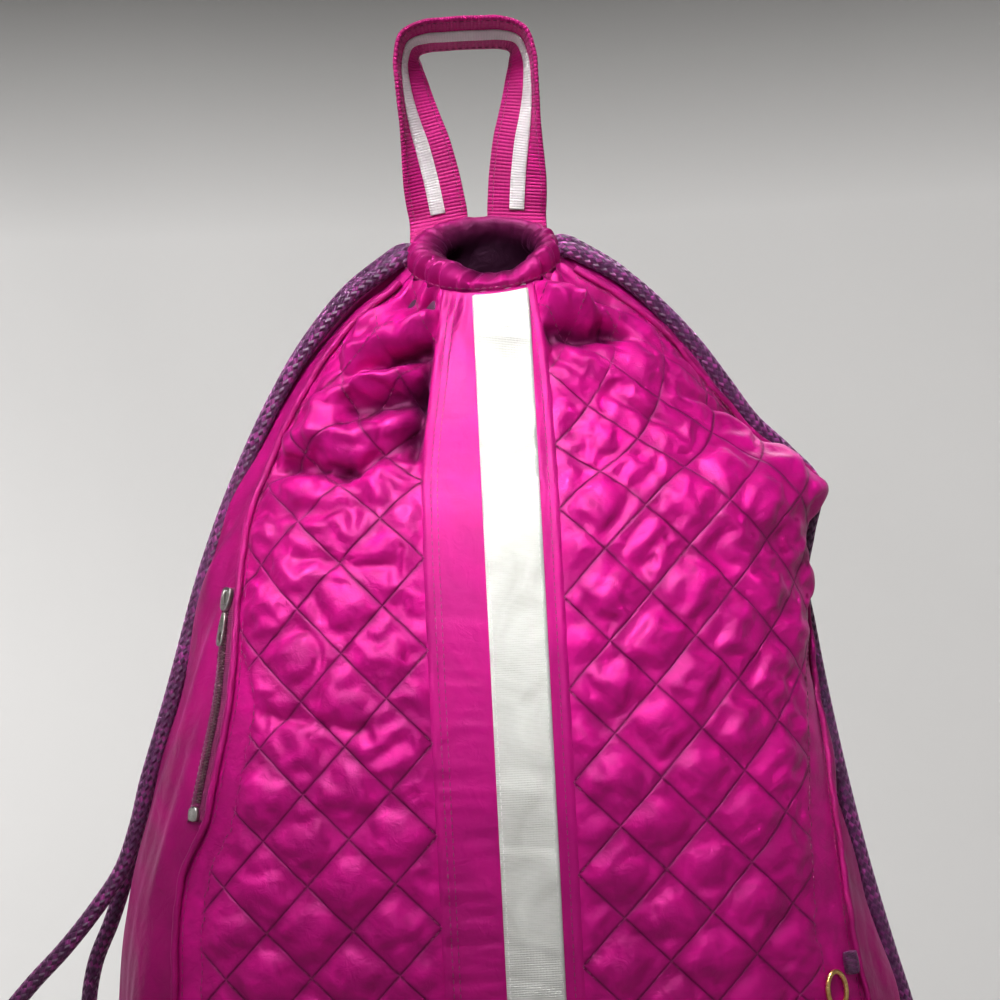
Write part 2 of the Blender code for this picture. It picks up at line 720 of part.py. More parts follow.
def strap_frames():
    """Place, width directions and inner face directions at each section of the handle."""
    rows = strap_sections()
    places = np.array([r[0] for r in rows])
    along = np.gradient(places, axis=0)
    frames = []
    for (place, angles), t in zip(rows, along, strict=True):
        t = t / np.linalg.norm(t)
        out = np.array([-t[2], 0.0, t[0]])
        out /= np.linalg.norm(out)
        deep = np.cross(out, t) * -1.0
        deep = deep if deep[1] > 0 else -deep
        wide = [math.cos(a) * -out - math.sin(a) * deep for a in angles]
        face = [-math.sin(a) * out + math.cos(a) * deep for a in angles]
        frames.append((place, wide, face))
    return frames


def sewn_frames(end):
    """Sections of the handle where it is sewn to the top of the back panel."""
    place = end[0]
    frames = []
    for share in (0.25, 0.5, 0.75, 1.0):
        drop = SEWN_START + share * LEG_SEWN / BODY_HEIGHT
        angle = angle_at(drop, place[0])
        here = on_bag(drop, angle, SEWN_OFF)
        side = on_bag(drop, angle + 2.0, SEWN_OFF) - on_bag(drop, angle - 2.0, SEWN_OFF)
        wide = side / np.linalg.norm(side) * (1 if np.dot(side, end[1][1]) > 0 else -1)
        down = on_bag(drop + 0.004, angle, SEWN_OFF) - here
        face = np.cross(wide, down)
        face = face / np.linalg.norm(face) * (1 if face[1] < 0 else -1)
        frames.append((here, [wide] * 3, [face] * 3))
    return frames


def strap_loop(frame, half_stripe, edge, thick, off):
    place, wide, face = frame
    front = place + wide[1] * half_stripe
    back = place - wide[1] * half_stripe
    faces = [face[0], face[0] + face[1], face[1] + face[2], face[2]]
    faces = [f / np.linalg.norm(f) for f in faces]
    line = [front + wide[0] * edge, front, back, back - wide[2] * edge]
    if edge == 0:
        line, faces = [front, back], [face[1], face[1]]
    inner = [p + f * off for p, f in zip(line, faces, strict=True)]
    outer = [p - f * thick for p, f in zip(inner, faces, strict=True)]
    return inner + outer[::-1]


def handle():
    frames = strap_frames()
    edge = (WEBBING_WIDTH - STRIPE_WIDTH) / 2
    whole = sewn_frames(frames[0])[::-1] + frames + sewn_frames(frames[-1])
    loops = [strap_loop(f, STRIPE_WIDTH / 2, edge, WEBBING_THICK, 0.0) for f in whole]
    ring("handle_webbing", loops, "webbing", closed=False)
    off = SEAM_GAP + STRIPE_THICK
    loops = [strap_loop(f, 0.47 * STRIPE_WIDTH, 0, STRIPE_THICK, off) for f in frames]
    ring("handle_stripe", loops, "ribbon", closed=False)


handle()


def tube(name, points, thick, look, sides):
    """A round cord through a list of points, with flat ends."""
    data = bpy.data.curves.new(name, "CURVE")
    data.dimensions = "3D"
    data.bevel_depth = thick / 2
    data.bevel_resolution = sides
    data.render_resolution_u = 0
    data.use_fill_caps = True
    spline = data.splines.new("POLY")
    spline.points.add(len(points) - 1)
    for at, p in zip(spline.points, points, strict=True):
        at.co = (*p, 1.0)
    return finish(name, data, look)


def smooth_line(route, step):
    """Points about one step apart on a smooth curve through a route's own points."""
    route = np.array(route)
    ends = np.vstack([2 * route[0] - route[1], route, 2 * route[-1] - route[-2]])
    line = []
    for i in range(1, len(ends) - 2):
        a, b, c, d = ends[i - 1 : i + 3]
        for t in np.linspace(0, 1, 24, endpoint=False):
            turn = (-a + 3 * b - 3 * c + d) * t**3 + (2 * a - 5 * b + 4 * c - d) * t**2
            line.append(0.5 * (turn + (c - a) * t + 2 * b))
    line = np.array(line + [route[-1]])
    run = np.concatenate([[0.0], np.cumsum(np.linalg.norm(np.diff(line, axis=0), axis=1))])
    at = np.linspace(0, run[-1], max(3, round(run[-1] / step)))
    return np.stack([np.interp(at, run, line[:, k]) for k in range(3)], axis=1)


def piping(name, seam):
    points = []
    for j in range(1, DOWN_CELLS):
        down = j / DOWN_CELLS
        length = seam_lengths(drop_of(down))[seam]
        middle, normal = on_body(down, [length])
        points.append(middle[0] + normal[0] * (PIPING_THICK / 2 + PIPING_OFF))
    tube(name, points, PIPING_THICK, "plain", 1)


piping("piping_left", "piping_left")
piping("piping_right", "piping_right")


def tab_frame(side):
    """Centre of a corner tab and its directions ahead, out and up."""
    place = on_bag(TAB_DROP, side * TAB_ANGLE, 0.0)
    ahead = on_bag(TAB_DROP, side * (TAB_ANGLE - 5.0), 0.0) - place
    ahead[2] = 0.0
    ahead /= np.linalg.norm(ahead)
    out = np.array([side * abs(ahead[1]), abs(ahead[0]) * side * np.sign(ahead[0]), 0.0])
    out -= ahead * np.dot(ahead, out)
    out /= np.linalg.norm(out)
    return place + out * (TAB_OFF + TAB_THICK / 2), ahead, out, np.array([0.0, 0.0, 1.0])


def cord_points(route):
    """Route points in the bag's frame: on the bag, free beside it, or at a corner tab."""
    places = []
    for kind, one, two, three in route:
        if kind == "bag":
            places.append(on_bag(one, two, three * CORD_THICK))
        elif kind == "free":
            top = -RIM_BELOW_HOOK
            places.append(np.array([one * BAG_WIDTH, two * BAG_DEPTH, top - three * BODY_HEIGHT]))
        else:
            centre, ahead, out, up = tab_frame(-1 if kind == "tab_left" else 1)
            away = two * TAB_THICK / 2 + (SEAM_GAP if two >= 1 else 0.0)
            above = three * TAB_HEIGHT / 2 + (SEAM_GAP if three >= 1 else 0.0)
            places.append(centre + ahead * one * TAB_WIDTH / 2 + out * away + up * above)
    return places


def cord_line(points):
    """Points along a cord, with a short straight end square to the tab's face."""
    line = smooth_line(points, 2.8 * CORD_THICK)
    away = np.array(points[-2]) - np.array(points[-1])
    end = np.array(points[-1]) + away / np.linalg.norm(away) * 0.7 * CORD_THICK
    return list(line[:-1]) + [end, line[-1]]


for cord_name, cord_route in CORD_ROUTES.items():
    tube(cord_name, cord_line(cord_points(cord_route)), CORD_THICK, "cord", 2)


def beside(seam, drop, away):
    """Place and directions across, down and out at a distance along the cloth from a seam."""
    down = float(np.interp(drop, DROPS, DOWN_SHARE))
    length = seam_lengths(drop)[seam] + away
    middle, normal = on_body(down, [length])
    right, _ = on_body(down, [length + 0.002])
    across = right[0] - middle[0]
    across -= normal[0] * np.dot(across, normal[0])
    across /= np.linalg.norm(across)
    return middle[0], across, np.cross(across, normal[0]), normal[0]


def strip(name, drop, length, away, width, low, high, look):
    """A thin strip along the cloth, from one height off it to another."""
    count = max(3, round(length / 0.010))
    start = float(np.interp(drop, DROPS, DOWN_SHARE))
    loops = []
    for k in range(count + 1):
        down = start + k / count * length / CLOTH_LENGTH
        seam = seam_lengths(drop_of(down))["piping_left"]
        lengths = [seam + away - width / 2, seam + away, seam + away + width / 2]
        middle, normal = on_body(down, lengths)
        loops.append([*(middle + normal * high), *(middle + normal * low)[::-1]])
    ring(name, loops, look, closed=False)


def block(name, frame, size, off, look, round_off):
    """A block with rounded edges: its length runs down the cloth and its base is off it."""
    place, across, down, out = frame
    bm = bmesh.new()
    bmesh.ops.create_cube(bm, size=1.0)
    bmesh.ops.scale(bm, vec=size, verts=bm.verts)
    bmesh.ops.bevel(
        bm, geom=bm.edges[:], offset=round_off, segments=1, affect="EDGES", profile=0.5
    )
    at = place + out * (off + size[2] / 2)
    turn = Matrix([across, down, out]).transposed().to_4x4()
    bmesh.ops.transform(bm, matrix=Matrix.Translation(Vector(at)) @ turn, verts=bm.verts)
    bmesh.ops.triangulate(bm, faces=bm.faces)
    return solid(name, bm, look)


zip_away = -(PIPING_THICK / 2 + ZIP_TAPE_WIDTH / 2 + ZIP_CLEAR)
strip("zip_tape", ZIP_DROP, ZIP_LENGTH, zip_away, ZIP_TAPE_WIDTH, SEAM_GAP, SEAM_GAP + ZIP_TAPE_THICK, "tape")
teeth_low = 2 * SEAM_GAP + ZIP_TAPE_THICK
teeth_high = teeth_low + ZIP_TEETH_THICK
teeth_drop = ZIP_DROP + (SLIDER_LENGTH + SEAM_GAP) / BODY_HEIGHT
teeth_length = ZIP_LENGTH - SLIDER_LENGTH - STOP_LENGTH - 4 * SEAM_GAP
strip("zip_teeth", teeth_drop, teeth_length, zip_away, ZIP_TEETH_WIDTH, teeth_low, teeth_high, "tape")

slider_off = teeth_high + SEAM_GAP
slider_frame = beside("piping_left", ZIP_DROP + 0.5 * SLIDER_LENGTH / BODY_HEIGHT, zip_away)
slider_size = (SLIDER_WIDTH, SLIDER_LENGTH, SLIDER_THICK)
block("zip_slider", slider_frame, slider_size, teeth_low, "metal", 0.25 * SLIDER_THICK)
pull_drop = ZIP_DROP + (SLIDER_LENGTH + SEAM_GAP + 0.5 * PULL_LENGTH) / BODY_HEIGHT
pull_frame = beside("piping_left", pull_drop, zip_away)
block("zip_pull", pull_frame, (PULL_WIDTH, PULL_LENGTH, PULL_THICK), slider_off, "metal", 0.3 * PULL_THICK)
stop_drop = ZIP_DROP + (ZIP_LENGTH - 0.5 * STOP_LENGTH - SEAM_GAP) / BODY_HEIGHT
stop_frame = beside("piping_left", stop_drop, zip_away)
stop_size = (STOP_WIDTH, STOP_LENGTH, 0.7 * SLIDER_THICK)
block("zip_stop", stop_frame, stop_size, teeth_low, "metal", 0.25 * SLIDER_THICK)


def whipping():
    """Three turns of thread round the end of the link's loop, as one ribbed barrel."""
    place, across, down, out = beside("piping_right", WHIPPING_DROP, -WHIPPING_AWAY)
    place = place + out * (WHIPPING_THICK / 2 + SEAM_GAP)
    loops = []
    for k in range(13):
        along = (k / 12 - 0.5) * WHIPPING_LENGTH
        rib = 0.5 - 0.5 * math.cos(2 * math.pi * 3 * k / 12)
        radius = WHIPPING_THICK / 2 * (0.80 + 0.20 * rib)
        turn = np.linspace(0, 2 * math.pi, 8, endpoint=False)
        loop = place + down * along
        loops.append(loop + np.outer(np.cos(turn), across) * radius + np.outer(np.sin(turn), out) * radius)
    ring("cord_whipping", loops, "cord", closed=False)


whipping()


def link():
    """A plain oval link lying on the cloth."""
    place, across, down, out = beside("piping_right", LINK_DROP, -LINK_AWAY)
    place = place + out * (LINK_WIRE / 2 + SEAM_GAP + LINK_OFF)
    loops = []
    for t in np.linspace(0, 2 * math.pi, 22, endpoint=False):
        wide, tall = (LINK_WIDTH - LINK_WIRE) / 2, (LINK_LENGTH - LINK_WIRE) / 2
        middle = place + across * wide * math.cos(t) + down * tall * math.sin(t)
        away = across * tall * math.cos(t) + down * wide * math.sin(t)
        away /= np.linalg.norm(away)
        turn = np.linspace(0, 2 * math.pi, 6, endpoint=False)
        loop = middle + np.outer(np.cos(turn), away) * LINK_WIRE / 2
        loops.append(loop + np.outer(np.sin(turn), out) * LINK_WIRE / 2)
    ring("gold_link", loops, "gold")


link()


def corner_tab(name, side):
    """A folded tab at the bottom of a side panel that holds both cord ends."""
    centre, ahead, out, up = tab_frame(side)
    frame = (centre - out * TAB_THICK / 2, ahead, np.cross(ahead, out), out)
    block(name, frame, (TAB_WIDTH, TAB_HEIGHT, TAB_THICK), 0.0, "webbing", 0.1 * TAB_THICK)


corner_tab("corner_tab_left", -1)
corner_tab("corner_tab_right", 1)
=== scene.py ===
import math

import bmesh
import bpy
import numpy as np
from mathutils import Matrix, Vector


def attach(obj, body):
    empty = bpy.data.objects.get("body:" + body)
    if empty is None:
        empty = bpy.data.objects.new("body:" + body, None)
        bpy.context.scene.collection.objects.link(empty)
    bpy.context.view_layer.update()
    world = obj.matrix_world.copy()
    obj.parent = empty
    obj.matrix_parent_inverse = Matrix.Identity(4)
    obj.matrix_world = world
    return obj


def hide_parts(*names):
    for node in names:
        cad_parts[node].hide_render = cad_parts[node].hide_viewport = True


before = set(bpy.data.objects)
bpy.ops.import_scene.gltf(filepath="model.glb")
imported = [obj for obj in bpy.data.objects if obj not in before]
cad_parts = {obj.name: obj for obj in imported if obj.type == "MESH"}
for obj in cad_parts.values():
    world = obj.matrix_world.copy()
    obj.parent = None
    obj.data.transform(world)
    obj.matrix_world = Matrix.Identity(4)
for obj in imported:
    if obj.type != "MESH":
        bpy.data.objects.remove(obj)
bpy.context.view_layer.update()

# Sizes, tables and shapes of the bag, in metres, as its plain solids have them.
# The origin is where the hook bears under the handle loop.
BAG_WIDTH = 0.357
BAG_DEPTH = 0.136
BODY_HEIGHT = 0.408
RIM_BELOW_HOOK = 0.104
BODY_CENTRE = 0.0015
BASE_THICK = 0.004

# Padding and quilting.
QUILT_SIDE = 0.0267
PUFF = 0.0070
SEAM_GAP = 0.0003
BACK_YOKE = 0.040

# Centre band and its ribbon.
RIBBON_WIDTH = 0.0250
RIBBON_THICK = 0.0008
RIBBON_SHIFT = 0.0094
LEFT_STRIP = 0.0259
RIGHT_STRIP = 0.0076

# Mouth and drawstring channel.
MOUTH_WIDTH = 0.039
MOUTH_DEPTH = 0.029
MOUTH_SHIFT = 0.0056
COLLAR_HEIGHT = 0.0105

# Webbing handle.
WEBBING_WIDTH = 0.0257
WEBBING_THICK = 0.0018
STRIPE_WIDTH = 0.0073
STRIPE_THICK = 0.0006
LOOP_WIDTH = 0.0555
LOOP_LEAN = 0.0024
LEG_DROP = 0.080
LEG_SEWN = 0.020

# Cords, piping, zip and small pieces.
CORD_THICK = 0.0075
PIPING_THICK = 0.0032
PIPING_OFF = 0.0008
ZIP_LENGTH = 0.100
ZIP_CLEAR = 0.0006
ZIP_MARGIN = 0.018
ZIP_TAPE_WIDTH = 0.0090
ZIP_TAPE_THICK = 0.0009
ZIP_TEETH_THICK = 0.0011
SLIDER_LENGTH = 0.0105
SLIDER_WIDTH = 0.0072
SLIDER_THICK = 0.0034
PULL_LENGTH = 0.0150
PULL_WIDTH = 0.0046
PULL_THICK = 0.0013
STOP_LENGTH = 0.0065
STOP_WIDTH = 0.0052
TAB_WIDTH = 0.0220
TAB_HEIGHT = 0.0180
TAB_THICK = 0.0090
TAB_OFF = 0.0009
TAB_ANGLE = 94.0
WHIPPING_LENGTH = 0.0100
WHIPPING_THICK = 0.0070
LINK_WIDTH = 0.0120
LINK_LENGTH = 0.0180
LINK_WIRE = 0.0022
LINK_OFF = 0.0016

# Body sections from the rim down. drop is a share of BODY_HEIGHT, left and right are shares of
# BAG_WIDTH, front and back of BAG_DEPTH, ahead moves the section forward in shares of BAG_DEPTH,
# tilt leans it forward in degrees and square is the exponent of its outline.
SECTIONS = [
    ("drop", "left", "right", "front", "back", "ahead", "tilt", "square"),
    (0.000, 0.087, 0.102, 0.184, 0.169, 0.096, 38.0, 2.00),
    (0.022, 0.114, 0.137, 0.206, 0.184, 0.094, 32.0, 2.00),
    (0.046, 0.155, 0.178, 0.230, 0.206, 0.086, 26.0, 2.05),
    (0.088, 0.200, 0.230, 0.268, 0.243, 0.064, 18.0, 2.10),
    (0.150, 0.250, 0.282, 0.324, 0.287, 0.046, 10.0, 2.20),
    (0.211, 0.287, 0.340, 0.382, 0.331, 0.026, 5.0, 2.30),
    (0.243, 0.306, 0.396, 0.419, 0.353, 0.014, 2.5, 2.35),
    (0.268, 0.319, 0.421, 0.449, 0.368, 0.008, 1.5, 2.40),
    (0.296, 0.332, 0.405, 0.471, 0.382, 0.004, 0.8, 2.45),
    (0.333, 0.349, 0.392, 0.493, 0.390, 0.000, 0.0, 2.50),
    (0.441, 0.391, 0.392, 0.544, 0.404, -0.010, 0.0, 2.60),
    (0.578, 0.443, 0.411, 0.574, 0.419, -0.015, 0.0, 2.70),
    (0.725, 0.486, 0.445, 0.574, 0.426, -0.015, 0.0, 2.80),
    (0.836, 0.498, 0.476, 0.566, 0.426, -0.015, 0.0, 2.85),
    (0.946, 0.499, 0.494, 0.551, 0.426, -0.015, 0.0, 2.90),
    (1.000, 0.474, 0.470, 0.500, 0.382, -0.015, 0.0, 2.90),
]

# Seams around the body, in degrees from the front centre, and how much of the plain strips shows.
SEAMS = [
    ("drop", "piping_left", "piping_right", "back_left", "back_right", "strip_left", "strip_right"),
    (0.00, 72.0, 80.0, 122.0, 122.0, 0.50, 0.40),
    (0.10, 70.0, 82.0, 124.0, 126.0, 0.72, 0.85),
    (0.25, 66.0, 97.0, 127.0, 133.0, 0.98, 1.00),
    (0.36, 56.0, 93.0, 129.0, 131.0, 1.00, 1.00),
    (0.48, 49.0, 84.0, 130.0, 130.0, 1.00, 1.00),
    (0.58, 48.0, 75.0, 130.0, 130.0, 1.00, 1.00),
    (0.65, 52.0, 69.0, 130.0, 130.0, 1.00, 1.00),
    (0.78, 50.0, 61.0, 130.0, 130.0, 1.00, 1.00),
    (1.00, 50.0, 58.0, 130.0, 130.0, 1.00, 1.00),
]

# Folds on the front. across runs from the band to the piping, down from the rim to the base,
# half_width is a share of QUILT_SIDE and rise is a share of PUFF, below nothing for a crease.
FOLDS = [
    ("panel", "across_0", "down_0", "across_1", "down_1", "half_width", "rise"),
    ("right", 0.02, 0.030, 0.55, 0.040, 0.34, 0.80),
    ("right", 0.00, 0.075, 0.62, 0.085, 0.26, -1.10),
    ("right", 0.05, 0.120, 0.70, 0.130, 0.40, 0.35),
    ("left", 0.10, 0.020, 0.75, 0.030, 0.28, -0.80),
    ("left", 0.05, 0.040, 0.80, 0.105, 0.30, 0.90),
    ("left", 0.00, 0.085, 0.45, 0.110, 0.22, -1.00),
    ("left", 0.20, 0.115, 0.85, 0.150, 0.30, 0.80),
    ("left", 0.00, 0.140, 0.62, 0.160, 0.30, -1.10),
    ("left", 0.02, 0.100, 0.03, 0.230, 0.30, -1.20),
    ("left", 0.60, 0.165, 0.90, 0.215, 0.30, 0.60),
    ("left", 0.40, 0.235, 0.95, 0.232, 0.22, -0.80),
]

# Handle from the hook down one leg. run is a share of the leg, fall of LEG_DROP, out of half of
# LOOP_WIDTH and behind of LOOP_WIDTH, and the three angles turn the front edge, the stripe and the
# back edge of the webbing, where 90 is edge on to the front and 180 shows its inner face.
LEG = [
    ("run", "fall", "out", "behind", "front_edge", "stripe", "back_edge"),
    (0.00, 0.000, 0.00, 0.000, 112.0, 116.0, 108.0),
    (0.16, 0.004, 0.58, 0.000, 110.0, 114.0, 110.0),
    (0.24, 0.030, 0.86, 0.002, 106.0, 110.0, 116.0),
    (0.31, 0.100, 0.99, 0.005, 102.0, 106.0, 132.0),
    (0.42, 0.260, 1.00, 0.020, 98.0, 116.0, 156.0),
    (0.54, 0.430, 0.94, 0.045, 102.0, 134.0, 170.0),
    (0.68, 0.620, 0.82, 0.080, 122.0, 165.0, 176.0),
    (0.84, 0.830, 0.71, 0.120, 158.0, 176.0, 180.0),
    (1.00, 1.000, 0.65, 0.160, 180.0, 180.0, 180.0),
]

# The drop on the back panel where each leg's sewn end begins.
SEWN_START = 0.004

# The zip starts at this drop, and the whipping and the link hang at these.
ZIP_DROP = 0.345
WHIPPING_DROP = 0.775
WHIPPING_AWAY = 0.0072
LINK_DROP = 0.800
LINK_AWAY = 0.0172
TAB_DROP = 0.925

# Cord routes. Points on the bag give drop, degrees from the front and the distance off the cloth
# in cord diameters. Free points give x, y and z as shares of BAG_WIDTH, BAG_DEPTH and BODY_HEIGHT.
CORD_ROUTES = {
    "cord_left_front": [
        ("bag", 0.012, -90.0, 0.80),
        ("bag", 0.05, -88.0, 0.90),
        ("bag", 0.12, -86.0, 0.90),
        ("bag", 0.22, -86.0, 0.84),
        ("bag", 0.33, -86.0, 0.76),
        ("bag", 0.45, -86.0, 0.66),
        ("bag", 0.56, -87.0, 0.72),
        ("free", -0.485, 0.00, 0.650),
        ("free", -0.556, -0.02, 0.730),
        ("free", -0.634, -0.03, 0.800),
        ("free", -0.678, -0.02, 0.862),
        ("free", -0.684, 0.00, 0.915),
        ("free", -0.655, 0.02, 0.945),
        ("free", -0.605, 0.04, 0.940),
        ("tab_left", 0.45, 3.00, 0.00),
        ("tab_left", 0.45, 1.00, 0.00),
    ],
    "cord_left_back": [
        ("bag", 0.012, -106.0, 0.85),
        ("bag", 0.05, -101.0, 0.95),
        ("bag", 0.12, -97.0, 0.95),
        ("bag", 0.22, -96.0, 0.88),
        ("bag", 0.33, -95.0, 0.82),
        ("bag", 0.45, -94.0, 0.80),
        ("bag", 0.56, -94.0, 0.84),
        ("free", -0.498, 0.10, 0.690),
        ("free", -0.534, 0.12, 0.760),
        ("free", -0.547, 0.12, 0.820),
        ("free", -0.535, 0.11, 0.880),
        ("tab_left", -0.45, 0.00, 2.00),
        ("tab_left", -0.45, 0.00, 1.00),
    ],
    "cord_right_front": [
        ("bag", 0.012, 92.0, 0.84),
        ("bag", 0.05, 92.0, 0.95),
        ("bag", 0.12, 94.0, 0.95),
        ("bag", 0.20, 99.0, 0.90),
        ("bag", 0.27, 106.0, 0.85),
        ("bag", 0.35, 104.0, 0.75),
        ("bag", 0.44, 98.0, 0.75),
        ("bag", 0.56, 92.0, 0.75),
        ("bag", 0.68, 90.0, 0.72),
        ("bag", 0.78, 90.0, 0.72),
        ("tab_right", 0.45, 0.00, 2.00),
        ("tab_right", 0.45, 0.00, 1.00),
    ],
    "cord_right_back": [
        ("bag", 0.012, 108.0, 0.84),
        ("bag", 0.05, 106.0, 0.95),
        ("bag", 0.12, 106.0, 0.92),
        ("bag", 0.20, 110.0, 0.90),
        ("bag", 0.27, 117.0, 0.75),
        ("bag", 0.35, 114.0, 0.72),
        ("bag", 0.44, 108.0, 0.72),
        ("bag", 0.56, 102.0, 0.72),
        ("bag", 0.68, 99.0, 0.70),
        ("bag", 0.78, 97.0, 0.70),
        ("tab_right", -0.45, 0.00, 2.00),
        ("tab_right", -0.45, 0.00, 1.00),
    ],
}


def length_run(points):
    """Length along a line of points, up to each of them."""
    return np.concatenate([[0.0], np.cumsum(np.linalg.norm(np.diff(points, axis=0), axis=1))])


def unit_rows(vectors):
    """An array of directions, each at length one."""
    return vectors / np.linalg.norm(vectors, axis=-1)[..., None]


def curve_through(xs, ys, slopes, x):
    """Reads a smooth curve that runs through points with their slopes."""
    i = np.clip(np.searchsorted(xs, x, side="right") - 1, 0, len(xs) - 2)
    h = xs[i + 1] - xs[i]
    t = (x - xs[i]) / h
    return (
        (2 * t**3 - 3 * t**2 + 1) * ys[i]
        + (t**3 - 2 * t**2 + t) * h * slopes[i]
        + (3 * t**2 - 2 * t**3) * ys[i + 1]
        + (t**3 - t**2) * h * slopes[i + 1]
    )


def column(table, name):
    at = table[0].index(name)
    return np.array([row[at] for row in table[1:]], float)


def smooth_read(table, key, name, x):
    """Reads a column between its rows with a curve that never overshoots them."""
    xs, ys = column(table, key), column(table, name)
    h, d = np.diff(xs), np.diff(ys) / np.diff(xs)
    m = np.zeros(len(xs))
    m[0], m[-1] = d[0], d[-1]
    for i in range(1, len(xs) - 1):
        if d[i - 1] * d[i] > 0:
            w0, w1 = 2 * h[i] + h[i - 1], h[i] + 2 * h[i - 1]
            m[i] = (w0 + w1) / (w0 / d[i - 1] + w1 / d[i])
    return curve_through(xs, ys, m, np.clip(x, xs[0], xs[-1]))


def outline(drop, degrees):
    """Points of the body's outline at one drop, for angles from the front centre, right positive."""
    read = {n: float(smooth_read(SECTIONS, "drop", n, drop)) for n in SECTIONS[0][1:]}
    a = np.radians(np.asarray(degrees, float))
    power = 2 / read["square"]
    x, d = np.abs(np.sin(a)) ** power, np.abs(np.cos(a)) ** power
    x = np.where(np.sin(a) < 0, -read["left"] * x, read["right"] * x) * BAG_WIDTH
    d = np.where(np.cos(a) > 0, -read["front"] * d, read["back"] * d) * BAG_DEPTH
    tilt = math.radians(read["tilt"])
    y = d * math.cos(tilt) - read["ahead"] * BAG_DEPTH
    z = d * math.sin(tilt) - RIM_BELOW_HOOK - drop * BODY_HEIGHT
    return np.stack([BODY_CENTRE + x, y, z], axis=-1)


TURN = np.linspace(-180.0, 180.0, 721)
DROPS = np.linspace(0.0, 1.0, 401)


def fall_lines():
    """Share of the cloth's length down the body at each drop, between its front and its side."""
    front = np.array([outline(d, [0.0])[0] for d in DROPS])
    side = np.array([outline(d, [90.0])[0] for d in DROPS])
    run = sum(np.linalg.norm(np.diff(line, axis=0), axis=1) for line in (front, side)) / 2
    total = np.concatenate([[0.0], np.cumsum(run)])
    return total / total[-1], float(total[-1])


DOWN_SHARE, CLOTH_LENGTH = fall_lines()


def drop_of(down):
    return float(np.interp(down, DOWN_SHARE, DROPS))


def around(drop):
    """The outline at one drop with its arc length from the front centre."""
    points = outline(drop, TURN)
    run = length_run(points)
    return points, run - np.interp(0.0, TURN, run)


def seam_lengths(drop):
    """Arc lengths of the seams at one drop, left to right from the back's left edge."""
    _, run = around(drop)
    read = {n: float(smooth_read(SEAMS, "drop", n, drop)) for n in SEAMS[0][1:]}
    angle = {n: np.interp(s * read[n], TURN, run) for n, s in SIDES.items()}
    first = RIBBON_SHIFT - RIBBON_WIDTH / 2
    last = RIBBON_SHIFT + RIBBON_WIDTH / 2
    return {
        "back_left": float(angle["back_left"]),
        "piping_left": float(angle["piping_left"]),
        "band_left": first - LEFT_STRIP * read["strip_left"],
        "ribbon_left": first,
        "ribbon_right": last,
        "band_right": last + RIGHT_STRIP * read["strip_right"],
        "piping_right": float(angle["piping_right"]),
        "back_right": float(angle["back_right"]),
    }


SIDES = {"back_left": -1, "piping_left": -1, "piping_right": 1, "back_right": 1}


def on_body(down, lengths):
    """Points and outward normals on the body for arc lengths at one share down the cloth."""
    step = 0.004
    rows = []
    for share in (max(down - step, 0.0), down, min(down + step, 1.0)):
        points, run = around(drop_of(share))
        total = run[-1] - run[0]
        here = (np.asarray(lengths, float) - run[0]) % total + run[0]
        rows.append((points, run, here))

    def read(row, shift=0.0):
        points, run, here = row
        total = run[-1] - run[0]
        at = (here + shift - run[0]) % total + run[0]
        return np.stack([np.interp(at, run, points[:, k]) for k in range(3)], axis=-1)

    middle = read(rows[1])
    across = read(rows[1], 0.002) - read(rows[1], -0.002)
    # The same angle on the rows above and below gives the direction down the cloth.
    share_run = rows[1][1]
    degrees = np.interp(rows[1][2], share_run, TURN)
    upper = np.stack([np.interp(degrees, TURN, rows[0][0][:, k]) for k in range(3)], axis=-1)
    lower = np.stack([np.interp(degrees, TURN, rows[2][0][:, k]) for k in range(3)], axis=-1)
    return middle, unit_rows(np.cross(lower - upper, across))


def on_bag(drop, degrees, off):
    """One point at a distance off the body, from its drop and its angle."""
    _, run = around(drop)
    down = float(np.interp(drop, DROPS, DOWN_SHARE))
    degrees = (degrees + 180.0) % 360.0 - 180.0
    middle, normal = on_body(down, [float(np.interp(degrees, TURN, run))])
    return middle[0] + off * normal[0]


def plane_of(row):
    """Centre, depth direction and upward direction of the first or last section's plane."""
    tilt = math.radians(float(column(SECTIONS, "tilt")[row]))
    ahead, drop = (float(column(SECTIONS, n)[row]) for n in ("ahead", "drop"))
    centre = np.array([BODY_CENTRE, -ahead * BAG_DEPTH, -RIM_BELOW_HOOK - drop * BODY_HEIGHT])
    depth = np.array([0.0, math.cos(tilt), math.sin(tilt)])
    return centre, depth, np.array([0.0, -math.sin(tilt), math.cos(tilt)])


HALF_DIAGONAL = QUILT_SIDE / math.sqrt(2)
DOWN_CELLS = 2 * round(CLOTH_LENGTH / HALF_DIAGONAL / 2)
SEWN_OFF = SEAM_GAP + 0.0009


def angle_at(drop, x):
    """Angle on the back of the body where the outline passes one x."""
    angles = np.linspace(90.0, 270.0, 181)
    return float(np.interp(-x, -outline(drop, angles)[:, 0], angles))


def strap_sections():
    """Sections of the handle from its left end to its right end: points and directions."""
    sections = []
    for side in (-1, 1):
        leg = []
        for run in np.linspace(0.0, 1.0, 13):
            read = {n: float(smooth_read(LEG, "run", n, run)) for n in LEG[0][1:]}
            x = side * read["out"] * LOOP_WIDTH / 2 + LOOP_LEAN * read["fall"]
            place = np.array([x, read["behind"] * LOOP_WIDTH, -read["fall"] * LEG_DROP])
            leg.append((place, [math.radians(read[n]) for n in ("front_edge", "stripe", "back_edge")]))
        sections.append(leg)
    left, right = sections
    return left[::-1] + right[1:]


